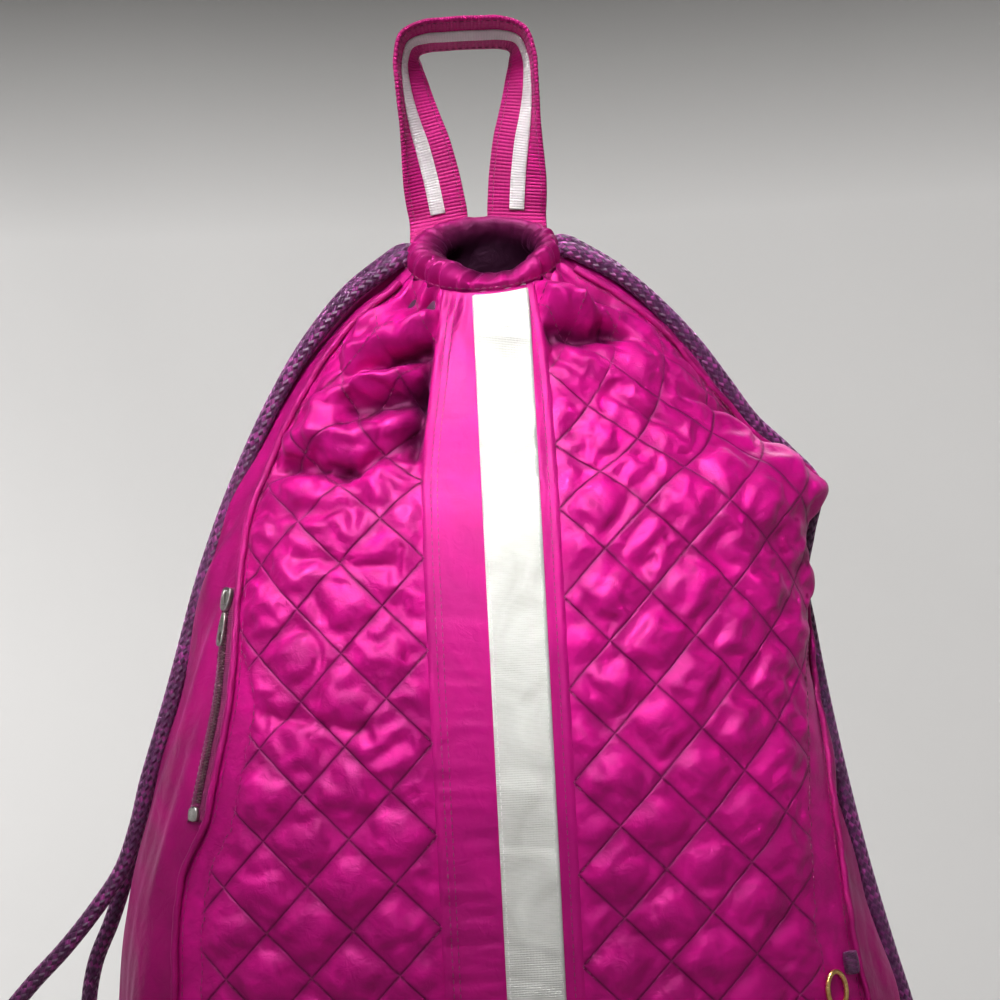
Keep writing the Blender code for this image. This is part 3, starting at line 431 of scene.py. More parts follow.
def strap_frames():
    """Place, width directions and inner face directions at each section of the handle."""
    rows = strap_sections()
    places = np.array([r[0] for r in rows])
    along = np.gradient(places, axis=0)
    frames = []
    for (place, angles), t in zip(rows, along, strict=True):
        t = t / np.linalg.norm(t)
        out = np.array([-t[2], 0.0, t[0]])
        out /= np.linalg.norm(out)
        deep = np.cross(out, t) * -1.0
        deep = deep if deep[1] > 0 else -deep
        wide = [math.cos(a) * -out - math.sin(a) * deep for a in angles]
        face = [-math.sin(a) * out + math.cos(a) * deep for a in angles]
        frames.append((place, wide, face))
    return frames


def sewn_frames(end):
    """Sections of the handle where it is sewn to the top of the back panel."""
    place = end[0]
    frames = []
    for share in (0.25, 0.5, 0.75, 1.0):
        drop = SEWN_START + share * LEG_SEWN / BODY_HEIGHT
        angle = angle_at(drop, place[0])
        here = on_bag(drop, angle, SEWN_OFF)
        side = on_bag(drop, angle + 2.0, SEWN_OFF) - on_bag(drop, angle - 2.0, SEWN_OFF)
        wide = side / np.linalg.norm(side) * (1 if np.dot(side, end[1][1]) > 0 else -1)
        down = on_bag(drop + 0.004, angle, SEWN_OFF) - here
        face = np.cross(wide, down)
        face = face / np.linalg.norm(face) * (1 if face[1] < 0 else -1)
        frames.append((here, [wide] * 3, [face] * 3))
    return frames


def smooth_line(route, step):
    """Points about one step apart on a smooth curve through a route's own points."""
    route = np.array(route)
    ends = np.vstack([2 * route[0] - route[1], route, 2 * route[-1] - route[-2]])
    line = []
    for i in range(1, len(ends) - 2):
        a, b, c, d = ends[i - 1 : i + 3]
        for t in np.linspace(0, 1, 24, endpoint=False):
            turn = (-a + 3 * b - 3 * c + d) * t**3 + (2 * a - 5 * b + 4 * c - d) * t**2
            line.append(0.5 * (turn + (c - a) * t + 2 * b))
    line = np.array(line + [route[-1]])
    run = length_run(line)
    at = np.linspace(0, run[-1], max(3, round(run[-1] / step)))
    return np.stack([np.interp(at, run, line[:, k]) for k in range(3)], axis=1)


def tab_frame(side):
    """Centre of a corner tab and its directions ahead, out and up."""
    place = on_bag(TAB_DROP, side * TAB_ANGLE, 0.0)
    ahead = on_bag(TAB_DROP, side * (TAB_ANGLE - 5.0), 0.0) - place
    ahead[2] = 0.0
    ahead /= np.linalg.norm(ahead)
    out = np.array([side * abs(ahead[1]), abs(ahead[0]) * side * np.sign(ahead[0]), 0.0])
    out -= ahead * np.dot(ahead, out)
    out /= np.linalg.norm(out)
    return place + out * (TAB_OFF + TAB_THICK / 2), ahead, out, np.array([0.0, 0.0, 1.0])


def cord_points(route):
    """Route points in the bag's frame: on the bag, free beside it, or at a corner tab."""
    places = []
    for kind, one, two, three in route:
        if kind == "bag":
            places.append(on_bag(one, two, three * CORD_THICK))
        elif kind == "free":
            top = -RIM_BELOW_HOOK
            places.append(np.array([one * BAG_WIDTH, two * BAG_DEPTH, top - three * BODY_HEIGHT]))
        else:
            centre, ahead, out, up = tab_frame(-1 if kind == "tab_left" else 1)
            away = two * TAB_THICK / 2 + (SEAM_GAP if two >= 1 else 0.0)
            above = three * TAB_HEIGHT / 2 + (SEAM_GAP if three >= 1 else 0.0)
            places.append(centre + ahead * one * TAB_WIDTH / 2 + out * away + up * above)
    return places


def cord_line(points):
    """Points along a cord, with a short straight end square to the tab's face."""
    line = smooth_line(points, 2.8 * CORD_THICK)
    away = np.array(points[-2]) - np.array(points[-1])
    end = np.array(points[-1]) + away / np.linalg.norm(away) * 0.7 * CORD_THICK
    return list(line[:-1]) + [end, line[-1]]


# The camera stands where the photograph was taken, a little above the bag's middle.
CAMERA_PLACE = (0.00607, -1.1, -0.2119)
CAMERA_LENS = 87.1
SENSOR_WIDTH = 36.0
SIGHT_END = 30.0
CAMERA_ROLL = math.atan2(49, 965)


def place(name, data, look, slot, node=None):
    """Puts a finished piece in the scene, riding on the bag, in place of its plain solid."""
    made = bpy.data.objects.new(name, data)
    bpy.context.scene.collection.objects.link(made)
    data.materials.clear()
    data.materials.append(look)
    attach(made, "root")
    if node:
        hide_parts(node)
    return made


def cloth_mesh(name, points, uv, closed=False):
    """A mesh over a grid of points, with the cloth's own lengths as its UV map."""
    rows, cols = points.shape[:2]
    index = np.arange(rows * cols).reshape(rows, cols)
    right = np.roll(index, -1, axis=1) if closed else index[:, 1:]
    left = index if closed else index[:, :-1]
    quads = np.stack([left[:-1], left[1:], right[1:], right[:-1]], axis=-1).reshape(-1, 4)
    return mesh_of(name, points.reshape(-1, 3), quads.tolist(), uv.reshape(-1, 2))


def mesh_of(name, points, faces, uv):
    mesh = bpy.data.meshes.new(name)
    mesh.from_pydata([tuple(p) for p in points], [], faces)
    layer = mesh.uv_layers.new(name="cloth")
    loops = np.empty(len(mesh.loops), dtype=np.int32)
    mesh.loops.foreach_get("vertex_index", loops)
    layer.data.foreach_set("uv", np.asarray(uv, np.float32)[loops].ravel())
    mesh.shade_smooth()
    return mesh


def outward(mesh, points, normals):
    """Turns the faces round where they look into the bag."""
    face = mesh.polygons[len(mesh.polygons) // 2]
    near = int(np.argmin(np.linalg.norm(points - np.array(face.center), axis=1)))
    if np.dot(np.array(face.normal), normals[near]) < 0:
        mesh.flip_normals()


def smoother(made, levels):
    modifier = made.modifiers.new("smooth", "SUBSURF")
    modifier.levels = modifier.render_levels = levels


def eased(x):
    x = np.clip(x, 0.0, 1.0)
    return x * x * (3 - 2 * x)


def ripple(x, y, seed, octaves=3):
    """Smooth seeded noise from -1 to 1, from sums of turned waves."""
    rng = np.random.default_rng(seed)
    total, weight = 0.0, 0.0
    for octave in range(octaves):
        for _ in range(5):
            turn, shift = rng.uniform(0, math.pi), rng.uniform(0, 2 * math.pi)
            pitch = 2.0**octave * rng.uniform(0.75, 1.3)
            wave = np.sin(2 * math.pi * pitch * (x * math.cos(turn) + y * math.sin(turn)) + shift)
            total = total + wave / 2**octave
            weight += 1 / 2**octave
    return total / weight * 2.2


def neck_gathers(degrees):
    """Height of the gathers at the neck, from -1 to 1, by the angle round the mouth."""
    a = np.radians(degrees)
    wide = np.cos(23 * a + 1.6 * np.sin(3 * a + 0.6) + 0.4)
    fine = np.cos(37 * a + 2.1 * np.sin(2 * a + 2.0) + 1.0)
    return 0.62 * wide + 0.38 * fine


def fold_field(panel, across, down, width, length):
    """Sum of the panel's folds at many points, as a share of PUFF."""
    total = np.zeros_like(across)
    here = np.stack([across * width, down * length], axis=-1)
    for name, a0, d0, a1, d1, half, rise in FOLDS[1:] + FINE_FOLDS:
        if name != panel:
            continue
        first = np.stack([a0 * width, np.full_like(width, d0 * length)], axis=-1)
        last = np.stack([a1 * width, np.full_like(width, d1 * length)], axis=-1)
        along = last - first
        t = np.clip(((here - first) * along).sum(-1) / (along * along).sum(-1), 0, 1)
        far = np.linalg.norm(here - first - t[..., None] * along, axis=-1)
        fade = eased(np.minimum(t, 1 - t) * 6 + 0.35)
        total += rise * fade * np.exp(-((far / (half * QUILT_SIDE)) ** 2))
    return total


def cloth_surface(down_steps, lengths_at):
    """Points, normals, angles round the bag and lengths along the cloth for rows down the bag."""
    points, normals, turns, ups = [], [], [], []
    for j in range(down_steps + 1):
        down = j / down_steps
        drop = drop_of(down)
        lengths = lengths_at(drop, down)
        middle, normal = on_body(down, lengths)
        if j in (0, down_steps):
            up = plane_of(0 if j == 0 else -1)[2]
            normal = unit_rows(normal - np.outer(normal @ up, up))
        run = around(drop)[1]
        total = run[-1] - run[0]
        turns.append(np.interp((lengths - run[0]) % total + run[0], run, TURN))
        points.append(middle)
        normals.append(normal)
        ups.append(lengths)
    return np.array(points), np.array(normals), np.array(turns), np.array(ups)


# The cloth is solved at ten times its size, over a few frames, and no point moves further than
# the deepest padding.
SOLVED_SCALE = 10.0
SOLVED_FRAMES = 16
PADDING_DEPTH = 0.0095


def puffed(name, points, faces, sewn, slack, taut):
    """Cloth that swells between its sewn lines: a cloth simulation whose result is kept."""
    mesh = bpy.data.meshes.new(name)
    mesh.from_pydata([tuple(p) for p in points * SOLVED_SCALE], [], faces)
    cloth = bpy.data.objects.new(name, mesh)
    bpy.context.scene.collection.objects.link(cloth)
    group = cloth.vertex_groups.new(name="sewn")
    group.add([int(k) for k in np.flatnonzero(sewn)], 1.0, "REPLACE")
    modifier = cloth.modifiers.new("cloth", "CLOTH")
    set_up = modifier.settings
    set_up.quality = 5
    set_up.mass = 0.15
    set_up.tension_stiffness = 25
    set_up.compression_stiffness = 25
    set_up.shear_stiffness = 8
    set_up.bending_stiffness = 0.25
    set_up.tension_damping = set_up.compression_damping = 10
    set_up.shear_damping = 10
    set_up.air_damping = 4
    set_up.vertex_group_mass = "sewn"
    set_up.effector_weights.gravity = 0.0
    set_up.use_pressure = True
    set_up.uniform_pressure_force = QUILT_PRESSURE
    tight = cloth.vertex_groups.new(name="taut")
    for k in np.flatnonzero(taut > 0):
        tight.add([int(k)], float(taut[k]), "REPLACE")
    set_up.vertex_group_shrink = "taut"
    set_up.shrink_max = 0.0
    set_up.shrink_min = -slack
    modifier.point_cache.frame_start = 1
    modifier.point_cache.frame_end = SOLVED_FRAMES
    scene = bpy.context.scene
    for f in range(1, SOLVED_FRAMES + 1):
        scene.frame_set(f)
    solved = cloth.evaluated_get(bpy.context.evaluated_depsgraph_get())
    flat = np.empty(len(points) * 3, dtype=np.float32)
    solved.data.vertices.foreach_get("co", flat)
    bpy.data.objects.remove(cloth, do_unlink=True)
    scene.frame_set(1)
    moved = flat.reshape(-1, 3).astype(float) / SOLVED_SCALE - points
    far = np.linalg.norm(moved, axis=1)
    moved *= np.minimum(1.0, PADDING_DEPTH / np.maximum(far, 1e-9))[:, None]
    return points + moved


def set_camera():
    data = bpy.data.cameras.new("camera")
    data.sensor_width = SENSOR_WIDTH
    data.lens = CAMERA_LENS
    data.dof.use_dof = False
    data.clip_end = SIGHT_END
    camera = bpy.data.objects.new("camera", data)
    bpy.context.scene.collection.objects.link(camera)
    c, s = math.cos(CAMERA_ROLL), math.sin(CAMERA_ROLL)
    turn = Matrix(((c, s, 0.0), (0.0, 0.0, -1.0), (-s, c, 0.0)))
    camera.matrix_world = Matrix.Translation(Vector(CAMERA_PLACE)) @ turn.to_4x4()
    bpy.context.scene.camera = camera


set_camera()


def node(tree, kind, **inputs):
    """A new node with numbers on its inputs."""
    made = tree.nodes.new(kind)
    for label, value in inputs.items():
        made.inputs[label].default_value = value
    return made


def maths(tree, operation, *values):
    """One Math node; each input is a number or a socket."""
    made = tree.nodes.new("ShaderNodeMath")
    made.operation = operation
    for k, value in enumerate(values):
        if isinstance(value, (int, float)):
            made.inputs[k].default_value = value
        else:
            tree.links.new(value, made.inputs[k])
    return made.outputs[0]


def new_group(name, inputs, outputs):
    tree = bpy.data.node_groups.new(name, "ShaderNodeTree")
    for label, kind, value in inputs:
        made = tree.interface.new_socket(label, in_out="INPUT", socket_type="NodeSocket" + kind)
        if value is not None:
            made.default_value = value
    for label, kind in outputs:
        tree.interface.new_socket(label, in_out="OUTPUT", socket_type="NodeSocket" + kind)
    return tree, tree.nodes.new("NodeGroupInput"), tree.nodes.new("NodeGroupOutput")


def weave_group():
    """Crossing threads: height of the weave and a fleck that marks the upper thread."""
    tree, start, end = new_group(
        "crossing threads",
        [("Cloth", "Vector", None), ("Across", "Float", 2200.0), ("Along", "Float", 2200.0)],
        [("Height", "Float"), ("Fleck", "Float")],
    )
    parts = tree.nodes.new("ShaderNodeSeparateXYZ")
    tree.links.new(start.outputs["Cloth"], parts.inputs[0])
    warp = maths(tree, "MULTIPLY", parts.outputs["X"], start.outputs["Across"])
    weft = maths(tree, "MULTIPLY", parts.outputs["Y"], start.outputs["Along"])
    over = maths(tree, "MULTIPLY", maths(tree, "SINE", maths(tree, "MULTIPLY", warp, math.pi)),
                 maths(tree, "SINE", maths(tree, "MULTIPLY", weft, math.pi)))
    round_warp = maths(tree, "ABSOLUTE", maths(tree, "SINE", maths(tree, "MULTIPLY", warp, math.pi)))
    round_weft = maths(tree, "ABSOLUTE", maths(tree, "SINE", maths(tree, "MULTIPLY", weft, math.pi)))
    upper = maths(tree, "GREATER_THAN", over, 0.0)
    mixed = maths(tree, "ADD", maths(tree, "MULTIPLY", round_warp, upper),
                  maths(tree, "MULTIPLY", round_weft, maths(tree, "SUBTRACT", 1.0, upper)))
    tree.links.new(mixed, end.inputs["Height"])
    tree.links.new(upper, end.inputs["Fleck"])
    return tree


def crumple_group():
    """Soft crumples of thin cloth, at two sizes, from the object's own place."""
    tree, start, end = new_group(
        "soft crumples",
        [("Place", "Vector", None), ("Size", "Float", 40.0), ("Fine", "Float", 0.4)],
        [("Height", "Float"), ("Tone", "Float")],
    )
    wide = node(tree, "ShaderNodeTexNoise", Detail=2.0, Roughness=0.5, Distortion=0.6)
    fine = node(tree, "ShaderNodeTexNoise", Detail=3.0, Roughness=0.55, Distortion=1.2)
    tree.links.new(start.outputs["Place"], wide.inputs["Vector"])
    tree.links.new(start.outputs["Place"], fine.inputs["Vector"])
    tree.links.new(start.outputs["Size"], wide.inputs["Scale"])
    tree.links.new(maths(tree, "MULTIPLY", start.outputs["Size"], 3.1), fine.inputs["Scale"])
    small = maths(tree, "MULTIPLY", fine.outputs["Fac"], start.outputs["Fine"])
    tree.links.new(maths(tree, "ADD", wide.outputs["Fac"], small), end.inputs["Height"])
    tree.links.new(wide.outputs["Fac"], end.inputs["Tone"])
    return tree


def lattice_group():
    """Where the quilting's stitch lines run: 1 on a line, 0 beyond its width."""
    tree, start, end = new_group(
        "quilting lines",
        [("Cloth", "Vector", None), ("Across", "Float", 0.0024), ("Down", "Float", 0.0024),
         ("Shift", "Float", 0.0), ("Steps", "Float", 16.0), ("Width", "Float", 0.0012)],
        [("Line", "Float"), ("Near", "Float")],
    )
    parts = tree.nodes.new("ShaderNodeSeparateXYZ")
    tree.links.new(start.outputs["Cloth"], parts.inputs[0])
    i = maths(tree, "DIVIDE", parts.outputs["X"], start.outputs["Across"])
    j = maths(tree, "DIVIDE", parts.outputs["Y"], start.outputs["Down"])
    j = maths(tree, "ADD", j, start.outputs["Shift"])
    side = maths(tree, "MULTIPLY", start.outputs["Steps"], start.outputs["Across"])
    size = maths(tree, "MULTIPLY", side, 0.7071)
    far = []
    for way in ("ADD", "SUBTRACT"):
        turn = maths(tree, "ADD", maths(tree, "DIVIDE", maths(tree, way, i, j), start.outputs["Steps"]), 0.5)
        off = maths(tree, "ABSOLUTE", maths(tree, "SUBTRACT", maths(tree, "FRACT", turn), 0.5))
        far.append(maths(tree, "MULTIPLY", off, size))
    nearest = maths(tree, "MINIMUM", far[0], far[1])
    share = maths(tree, "DIVIDE", nearest, start.outputs["Width"])
    for label, reach in (("Line", 1.0), ("Near", 4.5)):
        fall = maths(tree, "SUBTRACT", 1.0, maths(tree, "MINIMUM", maths(tree, "DIVIDE", share, reach), 1.0))
        tree.links.new(maths(tree, "MULTIPLY", fall, fall), end.inputs[label])
    return tree


WEAVE = weave_group()
CRUMPLE = crumple_group()
LATTICE = lattice_group()


def finish_base(name, rough, metallic=0.0):
    made = bpy.data.materials.new(name)
    made.use_nodes = True
    tree = made.node_tree
    shader = tree.nodes["Principled BSDF"]
    shader.inputs["Roughness"].default_value = rough
    shader.inputs["Metallic"].default_value = metallic
    return made, tree, shader


def group_node(tree, group, **inputs):
    made = node(tree, "ShaderNodeGroup")
    made.node_tree = group
    for label, value in inputs.items():
        made.inputs[label].default_value = value
    return made


def two_tone(tree, factor, first, second):
    """A mix of a colour with another colour, or with what a socket gives."""
    mix = tree.nodes.new("ShaderNodeMix")
    mix.data_type = "RGBA"
    tree.links.new(factor, mix.inputs["Factor"])
    mix.inputs["A"].default_value = (*first, 1.0)
    if isinstance(second, tuple):
        mix.inputs["B"].default_value = (*second, 1.0)
    else:
        tree.links.new(second, mix.inputs["B"])
    return mix.outputs["Result"]


def darkened(tree, value, mark_at, share):
    """A factor made smaller where a mark is 1."""
    left = maths(tree, "SUBTRACT", 1.0, maths(tree, "MULTIPLY", mark_at, share))
    return maths(tree, "MULTIPLY", value, left)


def cloth_place(tree):
    """The cloth's own lengths across and down, and its place on the bag."""
    where = tree.nodes.new("ShaderNodeTexCoord")
    parts = tree.nodes.new("ShaderNodeSeparateXYZ")
    tree.links.new(where.outputs["UV"], parts.inputs[0])
    return where, parts


def ramp(tree, value, low, high, first=0.0, last=1.0):
    made = tree.nodes.new("ShaderNodeMapRange")
    tree.links.new(value, made.inputs["Value"])
    for label, number in (("From Min", low), ("From Max", high), ("To Min", first), ("To Max", last)):
        made.inputs[label].default_value = number
    return made.outputs["Result"]


def bump(tree, height, distance, strength=1.0, under=None):
    made = tree.nodes.new("ShaderNodeBump")
    made.inputs["Distance"].default_value = distance
    made.inputs["Strength"].default_value = strength
    tree.links.new(height, made.inputs["Height"])
    if under is not None:
        tree.links.new(under, made.inputs["Normal"])
    return made.outputs["Normal"]


SATIN_LUSTRE = 0.20
# Painted shade: the cloth's colour deep in a crease, and the near black of the bag's throat.
CREASE_SHADE_COLOUR = (0.055, 0.0005, 0.022)
THROAT_SHADE_COLOUR = (0.006, 0.001, 0.005)


def satin(name, light, dark, rough, threads, crumple, depth, lattice=None):
    """Satin nylon: fine threads, soft crumples, a shine that keeps the cloth's own colour, and painted shade
    in its creases, its throat and along its quilting lines.
    """
    made, tree, shader = finish_base(name, rough, SATIN_LUSTRE)
    where = tree.nodes.new("ShaderNodeTexCoord")
    cloth = group_node(tree, WEAVE, Across=threads, Along=threads * 0.8)
    tree.links.new(where.outputs["UV"], cloth.inputs["Cloth"])
    soft = group_node(tree, CRUMPLE, Size=crumple, Fine=0.35)
    tree.links.new(where.outputs["Object"], soft.inputs["Place"])
    tone = ramp(tree, soft.outputs["Tone"], 0.35, 0.68)
    shade = two_tone(tree, tone, dark, light)
    height = soft.outputs["Height"]
    # Painted shade: the colour darkens where the fold attribute is below nothing, in creases and gather
    # troughs.
    fold = tree.nodes.new("ShaderNodeAttribute")
    fold.attribute_name = "fold"
    crease_shade = ramp(tree, fold.outputs["Fac"], -0.15, -1.0, 1.0, 0.10)
    if lattice:
        across, down, shift, steps = lattice
        lines = group_node(tree, LATTICE, Across=across, Down=down, Shift=shift, Steps=steps)
        tree.links.new(where.outputs["UV"], lines.inputs["Cloth"])
        sewn = tree.nodes.new("ShaderNodeAttribute")
        sewn.attribute_name = "quilted"
        # Painted shade: the cloth is darker on the quilting lines and in a wider band beside them.
        line = maths(tree, "MULTIPLY", lines.outputs["Line"], sewn.outputs["Fac"])
        near = maths(tree, "MULTIPLY", lines.outputs["Near"], sewn.outputs["Fac"])
        crease_shade = darkened(tree, darkened(tree, crease_shade, line, 0.72), near, 0.38)
        height = maths(tree, "SUBTRACT", height, maths(tree, "MULTIPLY", line, 0.35))
    deep = two_tone(tree, crease_shade, CREASE_SHADE_COLOUR, shade)
    # Painted shade: where the fold mark is deepest, in the bag's throat, the colour goes almost black.
    throat_shade = ramp(tree, fold.outputs["Fac"], -1.1, -2.0, 1.0, 0.08)
    tree.links.new(two_tone(tree, throat_shade, THROAT_SHADE_COLOUR, deep), shader.inputs["Base Color"])
    shine = ramp(tree, soft.outputs["Height"], 0.4, 1.0, rough - 0.06, rough + 0.09)
    tree.links.new(shine, shader.inputs["Roughness"])
    large = bump(tree, height, depth, 0.9)
    tree.links.new(bump(tree, cloth.outputs["Height"], 0.00006, 0.35, large), shader.inputs["Normal"])
    shader.inputs["Specular IOR Level"].default_value = 0.5
    shader.inputs["Specular Tint"].default_value = (1.0, 0.45, 0.85, 1.0)
    shader.inputs["Sheen Weight"].default_value = 0.12
    shader.inputs["Sheen Roughness"].default_value = 0.4
    shader.inputs["Sheen Tint"].default_value = (1.0, 0.15, 0.60, 1.0)
    return made


def ribbed(name, light, dark, pitch, rough, depth, tint=(1.0, 1.0, 1.0)):
    """Woven band with ribs across it, from the piece's own cloth lengths."""
    made, tree, shader = finish_base(name, rough)
    where, parts = cloth_place(tree)
    turns = maths(tree, "MULTIPLY", parts.outputs["Y"], math.pi / pitch)
    rib = maths(tree, "ABSOLUTE", maths(tree, "SINE", turns))
    cloth = group_node(tree, WEAVE, Across=1.0 / (1.3 * pitch), Along=1.0 / pitch)
    tree.links.new(where.outputs["UV"], cloth.inputs["Cloth"])
    soft = group_node(tree, CRUMPLE, Size=55.0, Fine=0.5)
    tree.links.new(where.outputs["Object"], soft.inputs["Place"])
    tone = ramp(tree, soft.outputs["Tone"], 0.3, 0.75)
    # Painted shade: the colour darkens in the grooves between the ribs, along with a random tone.
    shade = maths(tree, "MULTIPLY", tone, ramp(tree, rib, 0.0, 0.6, 0.72, 1.0))
    tree.links.new(two_tone(tree, shade, dark, light), shader.inputs["Base Color"])
    large = bump(tree, soft.outputs["Height"], 0.0005, 0.7)
    woven = bump(tree, cloth.outputs["Height"], depth * 0.5, 0.6, large)
    tree.links.new(bump(tree, rib, depth, 0.8, woven), shader.inputs["Normal"])
    shader.inputs["Specular IOR Level"].default_value = 0.3
    shader.inputs["Sheen Weight"].default_value = 0.25
    shader.inputs["Sheen Tint"].default_value = (*tint, 1.0)
    return made


def braided(name, light, dark, strands, pitch, rough):
    """Braided cord: strands that cross round it, from its UV map, with lighter flecks."""
    made, tree, shader = finish_base(name, rough)
    where, parts = cloth_place(tree)
    turn = maths(tree, "MULTIPLY", parts.outputs["X"], float(strands))
    rise = maths(tree, "DIVIDE", parts.outputs["Y"], pitch)
    join = tree.nodes.new("ShaderNodeCombineXYZ")
    tree.links.new(maths(tree, "ADD", turn, rise), join.inputs["X"])
    tree.links.new(maths(tree, "SUBTRACT", turn, rise), join.inputs["Y"])
    cloth = group_node(tree, WEAVE, Across=1.0, Along=1.0)
    tree.links.new(join.outputs[0], cloth.inputs["Cloth"])
    soft = group_node(tree, CRUMPLE, Size=160.0, Fine=0.8)
    tree.links.new(where.outputs["Object"], soft.inputs["Place"])
    fleck = maths(tree, "MULTIPLY", cloth.outputs["Fleck"], ramp(tree, soft.outputs["Tone"], 0.45, 0.62))
    tree.links.new(two_tone(tree, fleck, dark, light), shader.inputs["Base Color"])
    fine = bump(tree, soft.outputs["Height"], 0.0001, 0.5)
    tree.links.new(bump(tree, cloth.outputs["Height"], 0.0007, 0.9, fine), shader.inputs["Normal"])
    shader.inputs["Sheen Weight"].default_value = 0.4
    shader.inputs["Sheen Tint"].default_value = (0.95, 0.35, 0.85, 1.0)
    return made


def cast(name, colour, worn, rough):
    """Polished plated metal with faint scratches and duller places."""
    made, tree, shader = finish_base(name, rough, 1.0)
    where = tree.nodes.new("ShaderNodeTexCoord")
    soft = group_node(tree, CRUMPLE, Size=300.0, Fine=0.7)
    tree.links.new(where.outputs["Object"], soft.inputs["Place"])
    tone = ramp(tree, soft.outputs["Tone"], 0.4, 0.7)
    tree.links.new(two_tone(tree, tone, colour, worn), shader.inputs["Base Color"])
    dull = ramp(tree, soft.outputs["Height"], 0.4, 1.2, rough - 0.06, rough + 0.14)
    tree.links.new(dull, shader.inputs["Roughness"])
    tree.links.new(bump(tree, soft.outputs["Height"], 0.00008, 0.5), shader.inputs["Normal"])
    return made


SATIN_LIGHT, SATIN_DARK = (0.58, 0.002, 0.222), (0.38, 0.0015, 0.145)
PLAIN = satin("plain satin nylon", (0.42, 0.002, 0.16), (0.28, 0.002, 0.105), 0.48, 2400.0, 38.0, 0.0018)
BAND = satin("band satin nylon", (0.50, 0.003, 0.190), (0.39, 0.0025, 0.150), 0.46, 2400.0, 46.0, 0.0008)
RIBBON = ribbed("ribbed white ribbon", (0.74, 0.74, 0.71), (0.54, 0.54, 0.51), 0.0010, 0.62, 0.00012)
WEBBING = ribbed(
    "woven webbing", (0.56, 0.004, 0.20), (0.36, 0.002, 0.12), 0.0016, 0.62, 0.0003, (1.0, 0.2, 0.6)
)
STRIPE = ribbed("woven pale stripe", (0.84, 0.82, 0.82), (0.60, 0.56, 0.58), 0.0012, 0.66, 0.0002)
CORD = braided("braided purple cord", (0.26, 0.025, 0.19), (0.055, 0.006, 0.050), 8, 0.0042, 0.42)
TAPE = ribbed("woven zip tape", (0.26, 0.004, 0.10), (0.14, 0.002, 0.06), 0.0009, 0.7, 0.0001)
METAL = cast("plated zip metal", (0.62, 0.60, 0.58), (0.42, 0.39, 0.38), 0.26)
TEETH = cast("dark zip metal", (0.30, 0.16, 0.20), (0.14, 0.05, 0.08), 0.34)
GOLD = cast("plated gold", (0.86, 0.56, 0.22), (0.62, 0.36, 0.12), 0.24)
THREAD = ribbed("sewing thread", (0.30, 0.003, 0.12), (0.18, 0.002, 0.07), 0.0004, 0.55, 0.0001)
PALE_THREAD = ribbed("pale sewing thread", (0.86, 0.84, 0.82), (0.66, 0.62, 0.62), 0.0004, 0.6, 0.0001)


def stitch_tree():
    """Thread stitches laid one after another along seam lines."""
    tree = bpy.data.node_groups.new("thread along a seam", "GeometryNodeTree")
    tree.interface.new_socket("Seam", in_out="INPUT", socket_type="NodeSocketGeometry")
    for label, value in (("Pitch", 0.0032), ("Stitch Length", 0.0025), ("Thread", 0.0005)):
        made = tree.interface.new_socket(label, in_out="INPUT", socket_type="NodeSocketFloat")
        made.default_value = value
    tree.interface.new_socket("Finish", in_out="INPUT", socket_type="NodeSocketMaterial")
    tree.interface.new_socket("Stitches", in_out="OUTPUT", socket_type="NodeSocketGeometry")
    start, end = tree.nodes.new("NodeGroupInput"), tree.nodes.new("NodeGroupOutput")
    curve = tree.nodes.new("GeometryNodeMeshToCurve")
    even = tree.nodes.new("GeometryNodeResampleCurve")
    even.mode = "LENGTH"
    tangent = tree.nodes.new("GeometryNodeInputTangent")
    turn = tree.nodes.new("FunctionNodeAlignRotationToVector")
    turn.axis = "Z"
    bead = tree.nodes.new("GeometryNodeMeshUVSphere")
    bead.inputs["Segments"].default_value = 6
    bead.inputs["Rings"].default_value = 4
    bead.inputs["Radius"].default_value = 0.5
    smooth = tree.nodes.new("GeometryNodeSetShadeSmooth")
    size = tree.nodes.new("ShaderNodeCombineXYZ")
    lay = tree.nodes.new("GeometryNodeInstanceOnPoints")
    real = tree.nodes.new("GeometryNodeRealizeInstances")
    look = tree.nodes.new("GeometryNodeSetMaterial")
    link = tree.links.new
    link(start.outputs["Seam"], curve.inputs["Mesh"])
    link(curve.outputs["Curve"], even.inputs["Curve"])
    link(start.outputs["Pitch"], even.inputs["Length"])
    link(tangent.outputs["Tangent"], turn.inputs["Vector"])
    link(start.outputs["Thread"], size.inputs["X"])
    link(start.outputs["Thread"], size.inputs["Y"])
    link(start.outputs["Stitch Length"], size.inputs["Z"])
    link(bead.outputs["Mesh"], smooth.inputs["Geometry"])
    link(even.outputs["Curve"], lay.inputs["Points"])
    link(smooth.outputs["Geometry"], lay.inputs["Instance"])
    link(turn.outputs["Rotation"], lay.inputs["Rotation"])
    link(size.outputs["Vector"], lay.inputs["Scale"])
    link(lay.outputs["Instances"], real.inputs["Geometry"])
    link(real.outputs["Geometry"], look.inputs["Geometry"])
    link(start.outputs["Finish"], look.inputs["Material"])
    link(look.outputs["Geometry"], end.inputs["Stitches"])
    return tree


STITCHES = stitch_tree()


